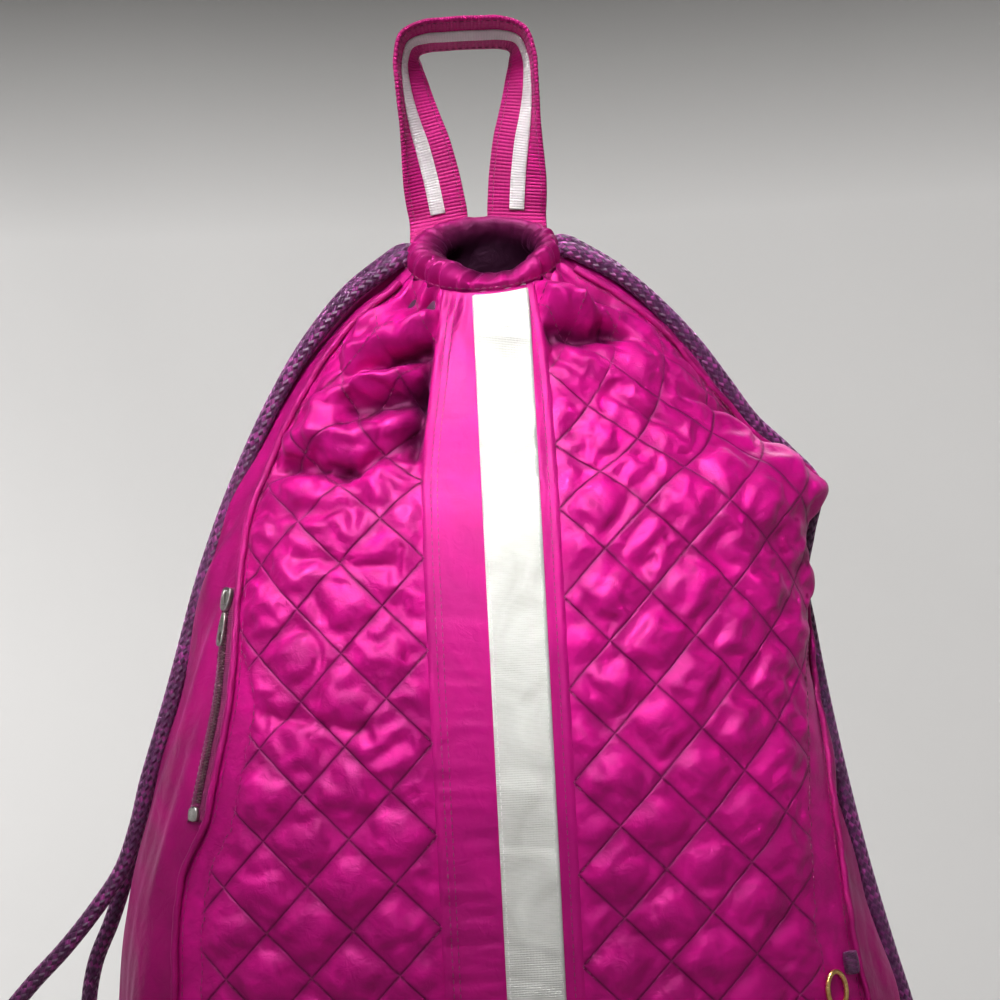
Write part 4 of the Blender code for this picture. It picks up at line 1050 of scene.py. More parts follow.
def stitched(name, lines, look, slot, pitch=0.0032, length=0.0024, thread=0.0005):
    """Stitches along polylines, made into one plain mesh."""
    points, edges = [], []
    for line in lines:
        if len(line) < 2:
            continue
        first = len(points)
        points += [tuple(p) for p in line]
        edges += [(first + k, first + k + 1) for k in range(len(line) - 1)]
    seam = bpy.data.meshes.new(name + "_seam")
    seam.from_pydata(points, edges, [])
    guide = bpy.data.objects.new(name + "_seam", seam)
    bpy.context.scene.collection.objects.link(guide)
    modifier = guide.modifiers.new("stitches", "NODES")
    values = {"Pitch": pitch, "Stitch Length": length, "Thread": thread, "Finish": look}
    modifier.node_group = STITCHES
    for item in STITCHES.interface.items_tree:
        if item.in_out == "INPUT" and item.name in values:
            modifier[item.identifier] = values[item.name]
    solved = guide.evaluated_get(bpy.context.evaluated_depsgraph_get())
    mesh = bpy.data.meshes.new_from_object(solved)
    bpy.data.objects.remove(guide, do_unlink=True)
    mesh.name = name
    return place(name, mesh, look, slot)


def tube_mesh(name, points, thick, sides=14, wave=None):
    """A round tube through points, closed at both ends, with its length in its UV map."""
    points = np.asarray(points, float)
    tangents = unit_rows(np.gradient(points, axis=0))
    run = length_run(points)
    side = np.cross(tangents[0], [0.0, 1.0, 0.0])
    if np.linalg.norm(side) < 0.1:
        side = np.cross(tangents[0], [1.0, 0.0, 0.0])
    rings, uv = [], []
    angle = np.linspace(0, 2 * math.pi, sides + 1)
    for k, (p, t) in enumerate(zip(points, tangents, strict=True)):
        side = side - t * np.dot(side, t)
        side /= np.linalg.norm(side)
        up = np.cross(t, side)
        radius = thick / 2 * (1.0 if wave is None else wave(run[k]))
        rings.append(p + radius * (np.outer(np.cos(angle), side) + np.outer(np.sin(angle), up)))
        uv.append(np.stack([angle / (2 * math.pi), np.full(sides + 1, run[k])], axis=-1))
    rings, uv = np.array(rings), np.array(uv)
    ends = []
    for k in (0, -1):
        cap = np.repeat(points[k][None, :], sides + 1, axis=0)
        ends.append((cap * 0.4 + rings[k] * 0.6, uv[k]))
        ends.append((cap, uv[k]))
    out = np.array(tangents[[0, -1]]) * thick * 0.06
    grid = [ends[1][0] - out[0], ends[0][0] - out[0], *rings, ends[2][0] + out[1], ends[3][0] + out[1]]
    maps = [ends[1][1], ends[0][1], *uv, ends[2][1], ends[3][1]]
    mesh = cloth_mesh(name, np.array(grid), np.array(maps))
    close_seams(mesh)
    return mesh


SAME_POINT = 1e-6


def face_outwards(bm):
    """Turns every face of a closed piece outwards."""
    bmesh.ops.recalc_face_normals(bm, faces=bm.faces)
    if bm.calc_volume(signed=True) < 0:
        bmesh.ops.reverse_faces(bm, faces=bm.faces)


def keep(bm, mesh):
    """Writes what was built into its mesh, smoothly shaded."""
    bm.to_mesh(mesh)
    bm.free()
    mesh.shade_smooth()


def close_seams(mesh):
    """Joins points that lie on each other and turns every face outwards."""
    bm = bmesh.new()
    bm.from_mesh(mesh)
    bmesh.ops.remove_doubles(bm, verts=bm.verts, dist=SAME_POINT)
    face_outwards(bm)
    keep(bm, mesh)


def cords():
    """The drawstring's four strands, on the route of their plain solids."""
    for name, route in CORD_ROUTES.items():
        coarse = cord_line(cord_points(route))
        angle = route[0][2]
        hidden = [on_bag(0.0, angle, -0.0020) + [0, 0, 0.0035], on_bag(0.004, angle, 0.0030) + [0, 0, 0.0020]]
        fine = smooth_line([*hidden, *coarse], 0.0022)
        # The straight end stays square to the tab.
        mesh = tube_mesh(name + "_braid", fine, 0.98 * CORD_THICK, 16)
        made = place(name + "_braid", mesh, CORD, "cord", name)


cords()


def gather_fade(down):
    return (1 - eased(down * CLOTH_LENGTH / (2.6 * QUILT_SIDE))) ** 1.2


PANELS = {
    # The panel's own table: seam it starts at, seam it ends at, direction, steps in each half
    # diagonal, shift of the quilting in steps, fullness at the neck, plain margin at the foot.
    "front_right_panel": ("band_right", "piping_right", 1, 8, 10, 0.75, 0.0205),
    "front_left_panel": ("band_left", "piping_left", -1, 8, 2, 0.75, 0.0130),
}


# Smaller folds that only the cloth shows, in the columns of FOLDS.
FINE_FOLDS = [
    ("right", 0.06, 0.012, 0.30, 0.050, 0.20, 0.45),
    ("right", 0.45, 0.045, 0.66, 0.072, 0.16, 0.70),
    ("right", 0.58, 0.070, 0.70, 0.095, 0.14, -0.75),
    ("right", 0.60, 0.010, 0.92, 0.060, 0.20, -0.70),
    ("right", 0.02, 0.095, 0.25, 0.140, 0.20, -0.45),
    ("right", 0.30, 0.150, 0.55, 0.215, 0.22, -0.35),
    ("right", 0.70, 0.160, 0.95, 0.200, 0.20, -0.40),
    ("left", 0.35, 0.010, 0.90, 0.070, 0.24, 0.55),
    ("left", 0.10, 0.072, 0.85, 0.150, 0.16, -0.60),
    ("left", 0.30, 0.185, 0.75, 0.200, 0.20, 0.50),
    ("left", 0.05, 0.190, 0.50, 0.250, 0.20, -0.55),
    ("left", 0.30, 0.290, 0.95, 0.300, 0.16, -0.35),
    ("left", 0.10, 0.360, 0.70, 0.345, 0.16, -0.30),
    ("left", 0.25, 0.520, 0.85, 0.500, 0.14, -0.25),
]


def quilt_lengths(start, end, way, columns, step, anchor, fullness):
    """Lengths along the cloth for a row: even steps of quilting, cut off at the seams."""

    def read(drop, down):
        seams = seam_lengths(drop)
        first, last = seams[start], seams[end]
        if way > 0 and last < first:
            run = around(drop)[1]
            last += run[-1] - run[0]
        body = abs(last - first)
        full = 1 + fullness * float(1 - eased(down * CLOTH_LENGTH / 0.105))
        low, high = -anchor * body * full, (1 - anchor) * body * full
        flat = columns * step
        flat = np.where(flat > high - 0.45 * step, high, flat)
        flat = np.where(flat < low + 0.45 * step, low, flat)
        origin = first + way * anchor * body
        read.cut.append((flat <= low + 1e-9, flat >= high - 1e-9, flat, low, high))
        return origin + way * flat / full

    read.cut = []
    return read


def mark(mesh, label, values):
    """Stores one number a point, which the finish reads."""
    layer = mesh.attributes.new(label, "FLOAT", "POINT")
    layer.data.foreach_set("value", np.asarray(values, np.float32))


def quilted(name, start, end, way, fine, shift, fullness, margin, anchor=0.0, yoke=0.0, slack=0.11):
    """A quilted panel: cloth sewn to its padding along crossing lines, puffed between them."""
    step = HALF_DIAGONAL / fine
    rows = DOWN_CELLS * fine
    wide = max(abs(width_between(start, end, d)) * (1 + fullness * (d < 0.25)) for d in np.linspace(0, 1, 21))
    count = int(math.ceil(wide / step)) + 2
    low = -int(round(anchor * count))
    columns = np.arange(low, low + count + 1)
    reader = quilt_lengths(start, end, way, columns, step, anchor, fullness)
    points, normals, turns, _ = cloth_surface(rows, reader)
    at_low = np.array([c[0] for c in reader.cut])
    at_high = np.array([c[1] for c in reader.cut])
    flat = np.array([c[2] for c in reader.cut])
    lows, highs = (np.array([c[k] for c in reader.cut])[:, None] for k in (3, 4))
    downs = np.repeat(np.linspace(0, 1, rows + 1)[:, None], len(columns), axis=1)
    width = np.repeat(highs - lows, len(columns), axis=1)
    across = (flat - lows) / width
    panel = "right" if way > 0 else "left"
    edge = eased(np.minimum(flat - lows, highs - flat) / (0.30 * QUILT_SIDE))
    ends = eased((np.minimum(downs, 1 - downs) * CLOTH_LENGTH) / (0.45 * QUILT_SIDE))
    lift, dip = np.zeros_like(across), np.zeros_like(across)
    inner = eased(np.minimum(flat - lows, highs - flat) / 0.004)
    if anchor == 0.0:
        dip = fold_field(panel, across, downs, width, CLOTH_LENGTH) * inner * ends
        lift += FOLD_DEPTH * dip
    gather = neck_gathers(turns) * gather_fade(downs) * (0.25 + 0.75 * edge)
    lift += 0.0036 * gather
    # The gathers' troughs add painted shade to the fold mark, not height.
    dip = dip + 0.45 * np.minimum(gather, 0.0)
    calm_top = 0.22 + 0.78 * eased((downs - 0.03) / 0.15)
    crumple = ripple(flat / 0.055 + 3.0 * (way > 0), downs * CLOTH_LENGTH / 0.050, 11 + way, 3)
    lift += 0.0011 * crumple * edge * ends
    i, j = np.meshgrid(columns, np.arange(rows + 1))
    p, q = (i + j + shift) % (2 * fine), (i - j - shift) % (2 * fine)
    sewn = (p == 0) | (q == 0)
    # A plain strip runs beside the piping in the lower part, outside a last row of stitches.
    low_part = eased((downs - 0.40) / 0.10)
    strip = highs - flat - margin * low_part
    outside = (strip < 0) & (low_part > 0.3) & (margin > 0)
    line = (np.abs(strip) < 0.5 * step) & (low_part > 0.3) & (margin > 0)
    sewn = (sewn & ~outside) | line
    if yoke:
        top = downs * CLOTH_LENGTH
        sewn &= top > yoke
        line_row = np.abs(top - yoke) < 0.5 * CLOTH_LENGTH / rows
        sewn |= line_row
        outside |= top < yoke
    if anchor > 0:
        sewn |= np.abs(flat - lows) < 1e-9
    hold = sewn | at_low | at_high | (j == 0) | (j == rows)
    pillow = np.abs(np.sin(math.pi * p / (2 * fine)) * np.sin(math.pi * q / (2 * fine))) ** 0.6
    puff = 0.0012 * pillow * edge * ends * calm_top * ~outside
    base = points + normals * (lift + puff + SEAM_GAP)[..., None]
    # Points that the seam cuts off join their neighbour on the seam.
    cols = len(columns)
    first = np.argmax(~at_low, axis=1) - 1
    first = np.maximum(first, 0)
    last = np.argmax(at_high, axis=1)
    keep = np.clip(np.arange(cols)[None, :], first[:, None], last[:, None])
    index = np.arange(rows + 1)[:, None] * cols + keep
    used, compact = np.unique(index, return_inverse=True)
    compact = compact.reshape(index.shape)
    faces = []
    for a in range(rows):
        for b in range(cols - 1):
            corners = [compact[a, b], compact[a, b + 1], compact[a + 1, b + 1], compact[a + 1, b]]
            if way < 0:
                corners.reverse()
            ring = [int(c) for k, c in enumerate(corners) if c != corners[k - 1]]
            if len(ring) > 2:
                faces.append(ring)
    flat_points = base.reshape(-1, 3)[used]
    flat_normals = normals.reshape(-1, 3)[used]
    uv = np.stack([flat, downs * CLOTH_LENGTH], axis=-1).reshape(-1, 2)[used]
    mesh = mesh_of(name + "_quilting", flat_points, faces, uv)
    outward(mesh, flat_points, flat_normals)
    ordered = [list(f.vertices) for f in mesh.polygons]
    tight = 0.45 * eased((downs - 0.48) / 0.18)
    calm = np.clip(1 - edge * ends * calm_top * (1 - tight) + outside * 0.85, 0, 1).reshape(-1)[used]
    solved = puffed(name, flat_points, ordered, hold.reshape(-1)[used], slack, calm)
    mesh.vertices.foreach_set("co", solved.astype(np.float32).ravel())
    mesh.update()
    shown = eased((downs - 0.06) / 0.12) if anchor == 0.0 else 1.0
    mark(mesh, "quilted", ((1.0 - outside) * shown).reshape(-1)[used])
    # The fold mark drives the satin's painted shade in creases and gather troughs.
    mark(mesh, "fold", dip.reshape(-1)[used])
    lattice = (step, CLOTH_LENGTH / rows, float(shift), 2.0 * fine)
    look = satin(name + " satin", SATIN_LIGHT, SATIN_DARK, 0.44, 2400.0, 75.0, 0.0011, lattice)
    made = place(name + "_quilting", mesh, look, "quilted_nylon", name)
    smoother(made, 1)
    # The stitch lines, one along each diagonal run of sewn points.
    lines = []
    solid = np.full(base.shape, np.nan)
    filled = solved[compact.reshape(-1)].reshape(base.shape)
    spare = (np.arange(cols)[None, :] < first[:, None]) | (np.arange(cols)[None, :] > last[:, None])
    solid[~spare] = (filled + normals * THREAD_RISE)[~spare]
    for sign, on in ((1, p == 0), (-1, q == 0)):
        lines += diagonals(solid, on & ~outside, sign)
    if margin:
        sewn_at = [(r, k) for r in range(rows + 1) for k in np.flatnonzero(line[r])[:1]]
        lines.append([filled[r, k] + normals[r, k] * THREAD_RISE for r, k in sewn_at])
    stitched(name + "_stitches", lines, THREAD, "quilted_nylon", 0.0034, 0.0026, 0.00048)
    return made


def diagonals(points, on, sign):
    """Polylines along the diagonals of a grid, where the points are on a sewn line."""
    rows, cols = on.shape
    lines = []
    for start in range(-rows, cols + rows):
        line = []
        for r in range(rows):
            c = start + (-r if sign > 0 else r)
            good = 0 <= c < cols and on[r, c] and not np.isnan(points[r, c, 0])
            if good:
                line.append(points[r, c])
            elif len(line) > 1:
                lines.append(line)
                line = []
            else:
                line = []
        if len(line) > 1:
            lines.append(line)
    return lines


def width_between(start, end, drop):
    seams = seam_lengths(drop)
    first, last = seams[start], seams[end]
    if start == "back_right":
        run = around(drop)[1]
        last += run[-1] - run[0]
    return last - first


# Pressure of the padding, depth of a fold of height 1 and how far the thread lies above the cloth.
QUILT_PRESSURE = 3.0
FOLD_DEPTH = 0.0095
THREAD_RISE = 0.0003
for panel, (start, end, way, fine, shift, fullness, margin) in PANELS.items():
    quilted(panel, start, end, way, fine, shift, fullness, margin)
quilted("back_panel", "back_right", "back_left", 1, 5, 0, 0.0, 0.0, anchor=0.5, yoke=BACK_YOKE)


def strip_surface(rows, cols, start, end, overlap=0.0):
    """A plain panel's grid from one seam to the next."""

    def read(drop, down):
        seams = seam_lengths(drop)
        first, last = seams[start] - overlap, seams[end] + overlap
        if last < first:
            run = around(drop)[1]
            last += run[-1] - run[0]
        return np.linspace(first, last, cols + 1)

    return cloth_surface(rows, read)


def seams_of(rows, seam):
    return np.array([seam_lengths(drop_of(j / rows))[seam] for j in range(rows + 1)])


def read_across(at, lengths, points):
    """One point of a row at a length across it."""
    return [np.interp(at, lengths, points[:, k]) for k in range(3)]


def centre_band():
    rows, cols = 352, 44
    points, normals, turns, lengths = strip_surface(rows, cols, "band_left", "band_right", 0.0006)
    down = np.linspace(0, 1, rows + 1)[:, None] * np.ones((1, cols + 1))
    along = down * CLOTH_LENGTH
    away = lengths - lengths[:, :1]
    other = lengths[:, -1:] - lengths
    edge = np.minimum(away, other)
    roll = 0.0010 * np.sqrt(np.clip(edge / 0.0014, 0, 1) * (2 - np.clip(edge / 0.0014, 0, 1)))
    groove = 0.00045 * np.exp(-(((edge - 0.0042) / 0.0011) ** 2))
    left = eased((seams_of(rows, "ribbon_left")[:, None] - lengths - 0.0005) / 0.004)
    cross = ripple(away / 0.060, along / 0.0105, 5, 3) * 0.00055
    cross += ripple(away / 0.030, along / 0.0050, 8, 2) * 0.00022
    patches = eased(np.abs(ripple(away / 0.2, along / 0.12, 4, 1)))
    busy = (0.12 + 0.88 * eased((down - 0.34) / 0.25)) * (0.45 + 0.55 * patches)
    ends = eased(np.minimum(along, (1 - down) * CLOTH_LENGTH) / 0.01)
    wrinkle = cross * left * busy * eased(edge / 0.003)
    pleat = 0.0010 * neck_gathers(turns) * gather_fade(down) * left
    lift = roll - groove + (wrinkle + pleat) * ends + 0.0003
    base = points + normals * lift[..., None]
    uv = np.stack([away, along], axis=-1)
    mesh = cloth_mesh("centre_band_cloth", base, uv)
    outward(mesh, base.reshape(-1, 3), normals.reshape(-1, 3))
    made = place("centre_band_cloth", mesh, BAND, "plain_nylon", "centre_band")
    lines = []
    for inset in (0.0042, 0.0070):
        for sign in (0, 1):
            line = []
            for r in range(6, rows + 1, 2):
                at = inset if sign == 0 else away[r, -1] - inset
                if sign == 1 and inset > 0.005:
                    continue
                line.append(read_across(at, away[r], base[r] + normals[r] * 0.0002))
            lines.append(line)
    stitched("band_stitches", lines, THREAD, "plain_nylon", 0.0030, 0.0023, 0.00045)


centre_band()


def white_ribbon():
    rows, cols = 264, 22
    points, normals, _, lengths = strip_surface(rows, cols, "ribbon_left", "ribbon_right")
    down = np.linspace(0, 1, rows + 1)[:, None] * np.ones((1, cols + 1))
    along, away = down * CLOTH_LENGTH, lengths - lengths[:, :1]
    edge = np.minimum(away, RIBBON_WIDTH - away)
    soft = ripple(away / 0.09, along / 0.035, 21, 2) * 0.00045
    crease = np.zeros_like(along)
    for at, lean, deep in RIBBON_CREASES:
        far = along - at * CLOTH_LENGTH - lean * (away - RIBBON_WIDTH / 2)
        crease += deep * np.exp(-((far / 0.0016) ** 2))
    fall = 0.00045 * (1 - eased(edge / 0.0012))
    ends = eased(along / 0.006)
    lift = 0.0013 + RIBBON_THICK + soft * eased(edge / 0.004) + crease * eased(edge / 0.003) - fall
    inward = 0.0022 * (1 - eased(along / 0.004))
    base = points + normals * (lift * (0.35 + 0.65 * ends) - inward)[..., None]
    mesh = cloth_mesh("white_ribbon_weave", base, np.stack([away, along], axis=-1))
    outward(mesh, base.reshape(-1, 3), normals.reshape(-1, 3))
    made = place("white_ribbon_weave", mesh, RIBBON, "ribbon", "white_ribbon")
    wall = made.modifiers.new("weave", "SOLIDIFY")
    wall.thickness = RIBBON_THICK
    wall.offset = -1.0
    lines = []
    for inset in (0.0016, RIBBON_WIDTH - 0.0016):
        line = []
        for r in range(3, rows + 1, 2):
            line.append(read_across(inset, away[r], base[r] + normals[r] * 0.0001))
        lines.append(line)
    stitched("ribbon_stitches", lines, PALE_THREAD, "ribbon", 0.0027, 0.0021, 0.0004)


RIBBON_CREASES = [
    # Share down the ribbon, lean across it and height of each faint crease.
    (0.075, 0.20, 0.0006),
    (0.180, -0.10, -0.0004),
    (0.335, 0.12, -0.0004),
    (0.460, -0.15, -0.0003),
    (0.585, 0.25, 0.0004),
    (0.640, 0.15, -0.0006),
    (0.735, 0.42, 0.0006),
    (0.775, 0.30, -0.0006),
    (0.880, -0.12, 0.0004),
]
white_ribbon()


def side_panel(name, start, end, from_piping, seed):
    rows, cols = 200, 60
    points, normals, turns, lengths = strip_surface(rows, cols, start, end, 0.0004)
    down = np.linspace(0, 1, rows + 1)[:, None] * np.ones((1, cols + 1))
    along, away = down * CLOTH_LENGTH, lengths - lengths[:, :1]
    width = away[:, -1:]
    near = away if from_piping > 0 else width - away
    flat = eased((near - 0.35 * ZIP_MARGIN) / (0.6 * QUILT_SIDE))
    if name.endswith("right"):
        flat = eased(near / (0.3 * QUILT_SIDE))
    flat = flat * eased((width - near) / (0.35 * QUILT_SIDE))
    ends = eased(np.minimum(down, 1 - down) * CLOTH_LENGTH / 0.012)
    slack = ripple(away / 0.050, along / 0.190, seed, 2) * 0.0022
    slack += ripple(away / 0.022, along / 0.070, seed + 1, 2) * 0.0008
    slack += 0.0034 * (1 - eased((down - 0.30) / 0.3))
    gather = 0.0026 * neck_gathers(turns) * gather_fade(down)
    base = points + normals * ((slack * flat + gather * (0.3 + 0.7 * flat)) * ends + SEAM_GAP)[..., None]
    mesh = cloth_mesh(name + "_cloth", base, np.stack([away, along], axis=-1))
    outward(mesh, base.reshape(-1, 3), normals.reshape(-1, 3))
    made = place(name + "_cloth", mesh, PLAIN, "plain_nylon", name)
    smoother(made, 1)


side_panel("side_panel_left", "back_left", "piping_left", -1, 31)
side_panel("side_panel_right", "piping_right", "back_right", 1, 37)


def piping(name, seam):
    rows = 260
    points = []
    for r in range(4, rows - 2):
        down = r / rows
        length = seam_lengths(drop_of(down))[seam]
        middle, normal = on_body(down, [length])
        wobble = 0.00025 * math.sin(70 * down) + 0.0002 * math.sin(163 * down + 1.0)
        points.append(middle[0] + normal[0] * (PIPING_THICK / 2 + 0.3 * PIPING_OFF + wobble))
    mesh = tube_mesh(name + "_cord", points, PIPING_THICK, 12, lambda at: 1 + 0.05 * math.sin(at / 0.0016))
    place(name + "_cord", mesh, PLAIN, "plain_nylon", name)
    sign = 1 if seam == "piping_left" else -1
    line = []
    for r in range(6, rows - 4, 2):
        down = r / rows
        length = seam_lengths(drop_of(down))[seam] + sign * 0.0034
        middle, normal = on_body(down, [length])
        line.append(middle[0] + normal[0] * 0.0011)
    stitched(name + "_stitches", [line], THREAD, "plain_nylon", 0.0032, 0.0025, 0.00045)


piping("piping_left", "piping_left")
piping("piping_right", "piping_right")


def collar():
    """The gathered neck: cloth drawn over the string's channel and down into the bag."""
    centre, depth, up = plane_of(0)
    count = 432
    angles = np.linspace(-180.0, 180.0, count, endpoint=False)
    a = np.radians(angles)
    outside = outline(0.0, angles)
    mouth = centre + np.outer(np.sin(a) * MOUTH_WIDTH / 2 + MOUTH_SHIFT, [1, 0, 0])
    mouth = mouth - np.outer(np.cos(a) * MOUTH_DEPTH / 2, depth)
    out = unit_rows(outside - mouth)
    pleat = neck_gathers(angles)
    front = np.exp(-((angles - 10.0) / 34.0) ** 4)
    calm = 0.30 + 0.70 * eased((np.cos(a) + 0.75) / 0.9)
    pleat = pleat * calm
    ruffle = (np.cos(17 * a + 1.5 * np.sin(3 * a)) * 0.5 + 0.5 * pleat) * calm
    loops = []
    for share, rise, wave, lip in COLLAR_ROWS:
        loop = outside + (mouth - outside) * share
        height = SEAM_GAP + COLLAR_HEIGHT * rise * (1 + 0.14 * lip * ruffle - 0.66 * front * lip)
        loop = loop + out * ((wave * pleat + 0.35 * wave * ruffle) * (1 - 0.55 * front))[:, None]
        loops.append(loop + up * height[:, None])
    for drop, inset in ((0.012, 0.0085), (0.035, 0.0100), (0.060, 0.0130)):
        wall = outline(drop, angles)
        middle = wall.mean(axis=0)
        away = wall - middle
        loops.append(middle + away * (1 - inset / np.linalg.norm(away, axis=1)[:, None]))
    grid = np.array(loops)
    run = np.concatenate([[0.0], np.cumsum(np.linalg.norm(np.diff(grid, axis=0), axis=2).mean(axis=1))])
    round_it = np.repeat((a * 0.036)[None, :], len(loops), 0)
    uv = np.stack([round_it, np.repeat(run[:, None], count, 1)], axis=-1)
    mesh = cloth_mesh("collar_gathers", grid, uv, closed=True)
    # Painted shade darkens the cloth row by row from the lip into the bag.
    depths = [0.0] * 5 + [-0.2, -0.4, -0.7, -1.0, -1.4, -1.8, -2.0] + [-2.0] * 3
    mark(mesh, "fold", np.repeat(depths, count))
    outward(mesh, grid[:3].reshape(-1, 3), np.repeat(out[None], 3, 0).reshape(-1, 3))
    turn_out(mesh, out, count)
    made = place("collar_gathers", mesh, PLAIN, "plain_nylon", "collar")
    smoother(made, 1)
    line = outside + (mouth - outside) * -0.05 + up * (SEAM_GAP + 0.18 * COLLAR_HEIGHT) + out * 0.0011
    stitched("collar_stitches", [[*line, line[0]]], THREAD, "plain_nylon", 0.0030, 0.0023, 0.0005)


def turn_out(mesh, out, count):
    """Turns a ring's faces so that its first row looks away from its middle."""
    mesh.update()
    face = mesh.polygons[3]
    if np.dot(np.array(face.normal), out[3]) < 0:
        mesh.flip_normals()


# The neck's section: share of the way in to the mouth, height, depth of the gathers and ruffle.
COLLAR_ROWS = [
    (0.05, -0.30, 0.0016, 0.0),
    (0.00, 0.00, 0.0016, 0.2),
    (0.00, 0.25, 0.0014, 0.4),
    (0.02, 0.50, 0.0014, 0.6),
    (0.08, 0.74, 0.0013, 0.8),
    (0.18, 0.92, 0.0012, 1.0),
    (0.32, 1.00, 0.0010, 1.0),
    (0.50, 0.97, 0.0009, 1.0),
    (0.70, 0.84, 0.0008, 0.9),
    (0.88, 0.60, 0.0008, 0.7),
    (0.97, 0.28, 0.0008, 0.4),
    (0.99, -0.10, 0.0008, 0.0),
]
collar()


def base_cloth():
    angles = np.linspace(-180.0, 180.0, 180, endpoint=False)
    rim = outline(1.0, angles)
    middle = rim.mean(axis=0)
    loops, shares = [], [(1.0, 0.0), (1.004, 0.3), (1.0, 0.62), (0.985, 0.86), (0.96, 0.97)]
    shares += [(s, 1.0) for s in np.linspace(0.93, 0.0, 18)]
    for share, fall in shares:
        loop = middle + (rim - middle) * share
        loop[:, 2] = rim[:, 2] - SEAM_GAP - fall * BASE_THICK
        soft = ripple(loop[:, 0] / 0.09, loop[:, 1] / 0.09, 51, 2) * 0.0006
        loop[:, 2] += np.where(share < 0.9, soft * min(1.0, (1 - share) * 4), 0.0)
        loops.append(loop)
    grid = np.array(loops)
    mesh = cloth_mesh("base_cloth", grid, grid[..., :2].copy(), closed=True)
    close_seams_open(mesh)
    made = place("base_cloth", mesh, PLAIN, "plain_nylon", "base_panel")
    smoother(made, 1)
    line = [p + [0, 0, -0.6 * BASE_THICK] for p in middle + (outline(1.0, angles) - middle) * 1.008]
    stitched("base_stitches", [[*line, line[0]]], THREAD, "plain_nylon", 0.0032, 0.0025, 0.0005)


def close_seams_open(mesh):
    """Joins the points at the middle of an open cup and turns its faces down and out."""
    bm = bmesh.new()
    bm.from_mesh(mesh)
    bmesh.ops.remove_doubles(bm, verts=bm.verts, dist=SAME_POINT)
    bmesh.ops.recalc_face_normals(bm, faces=bm.faces)
    lowest = min(bm.faces, key=lambda f: f.calc_center_median().z)
    if lowest.normal.z > 0:
        bmesh.ops.reverse_faces(bm, faces=bm.faces)
    keep(bm, mesh)


base_cloth()


def fine_frames():
    """Frames of the handle, read finely between the sections of its plain solid."""
    frames = strap_frames()
    whole = sewn_frames(frames[0])[::-1] + frames + sewn_frames(frames[-1])
    places = np.array([f[0] for f in whole])
    wide = np.array([f[1] for f in whole])
    face = np.array([f[2] for f in whole])
    run = length_run(places)
    at = np.linspace(0, run[-1], 240)

    def read(values):
        flat = values.reshape(len(values), -1)
        out = np.stack([spline(run, flat[:, k], at) for k in range(flat.shape[1])], axis=-1)
        return out.reshape((len(at), *values.shape[1:]))

    return at, read(places), unit_rows(read(wide)), unit_rows(read(face)), (run[4], run[-5])


def spline(x, y, at):
    """A smooth curve through points, with slopes from their neighbours."""
    return curve_through(x, y, np.gradient(y, x), at)


def capped(name, loops, maps):
    """A mesh over rings, closed at both ends."""
    grid, uv = np.array(loops), np.array(maps)
    caps = [np.repeat(grid[k].mean(axis=0)[None], grid.shape[1], 0) for k in (0, -1)]
    grid = np.concatenate([caps[0][None], grid, caps[1][None]])
    uv = np.concatenate([uv[:1], uv, uv[-1:]])
    mesh = cloth_mesh(name, grid, uv, closed=True)
    close_seams(mesh)
    return mesh


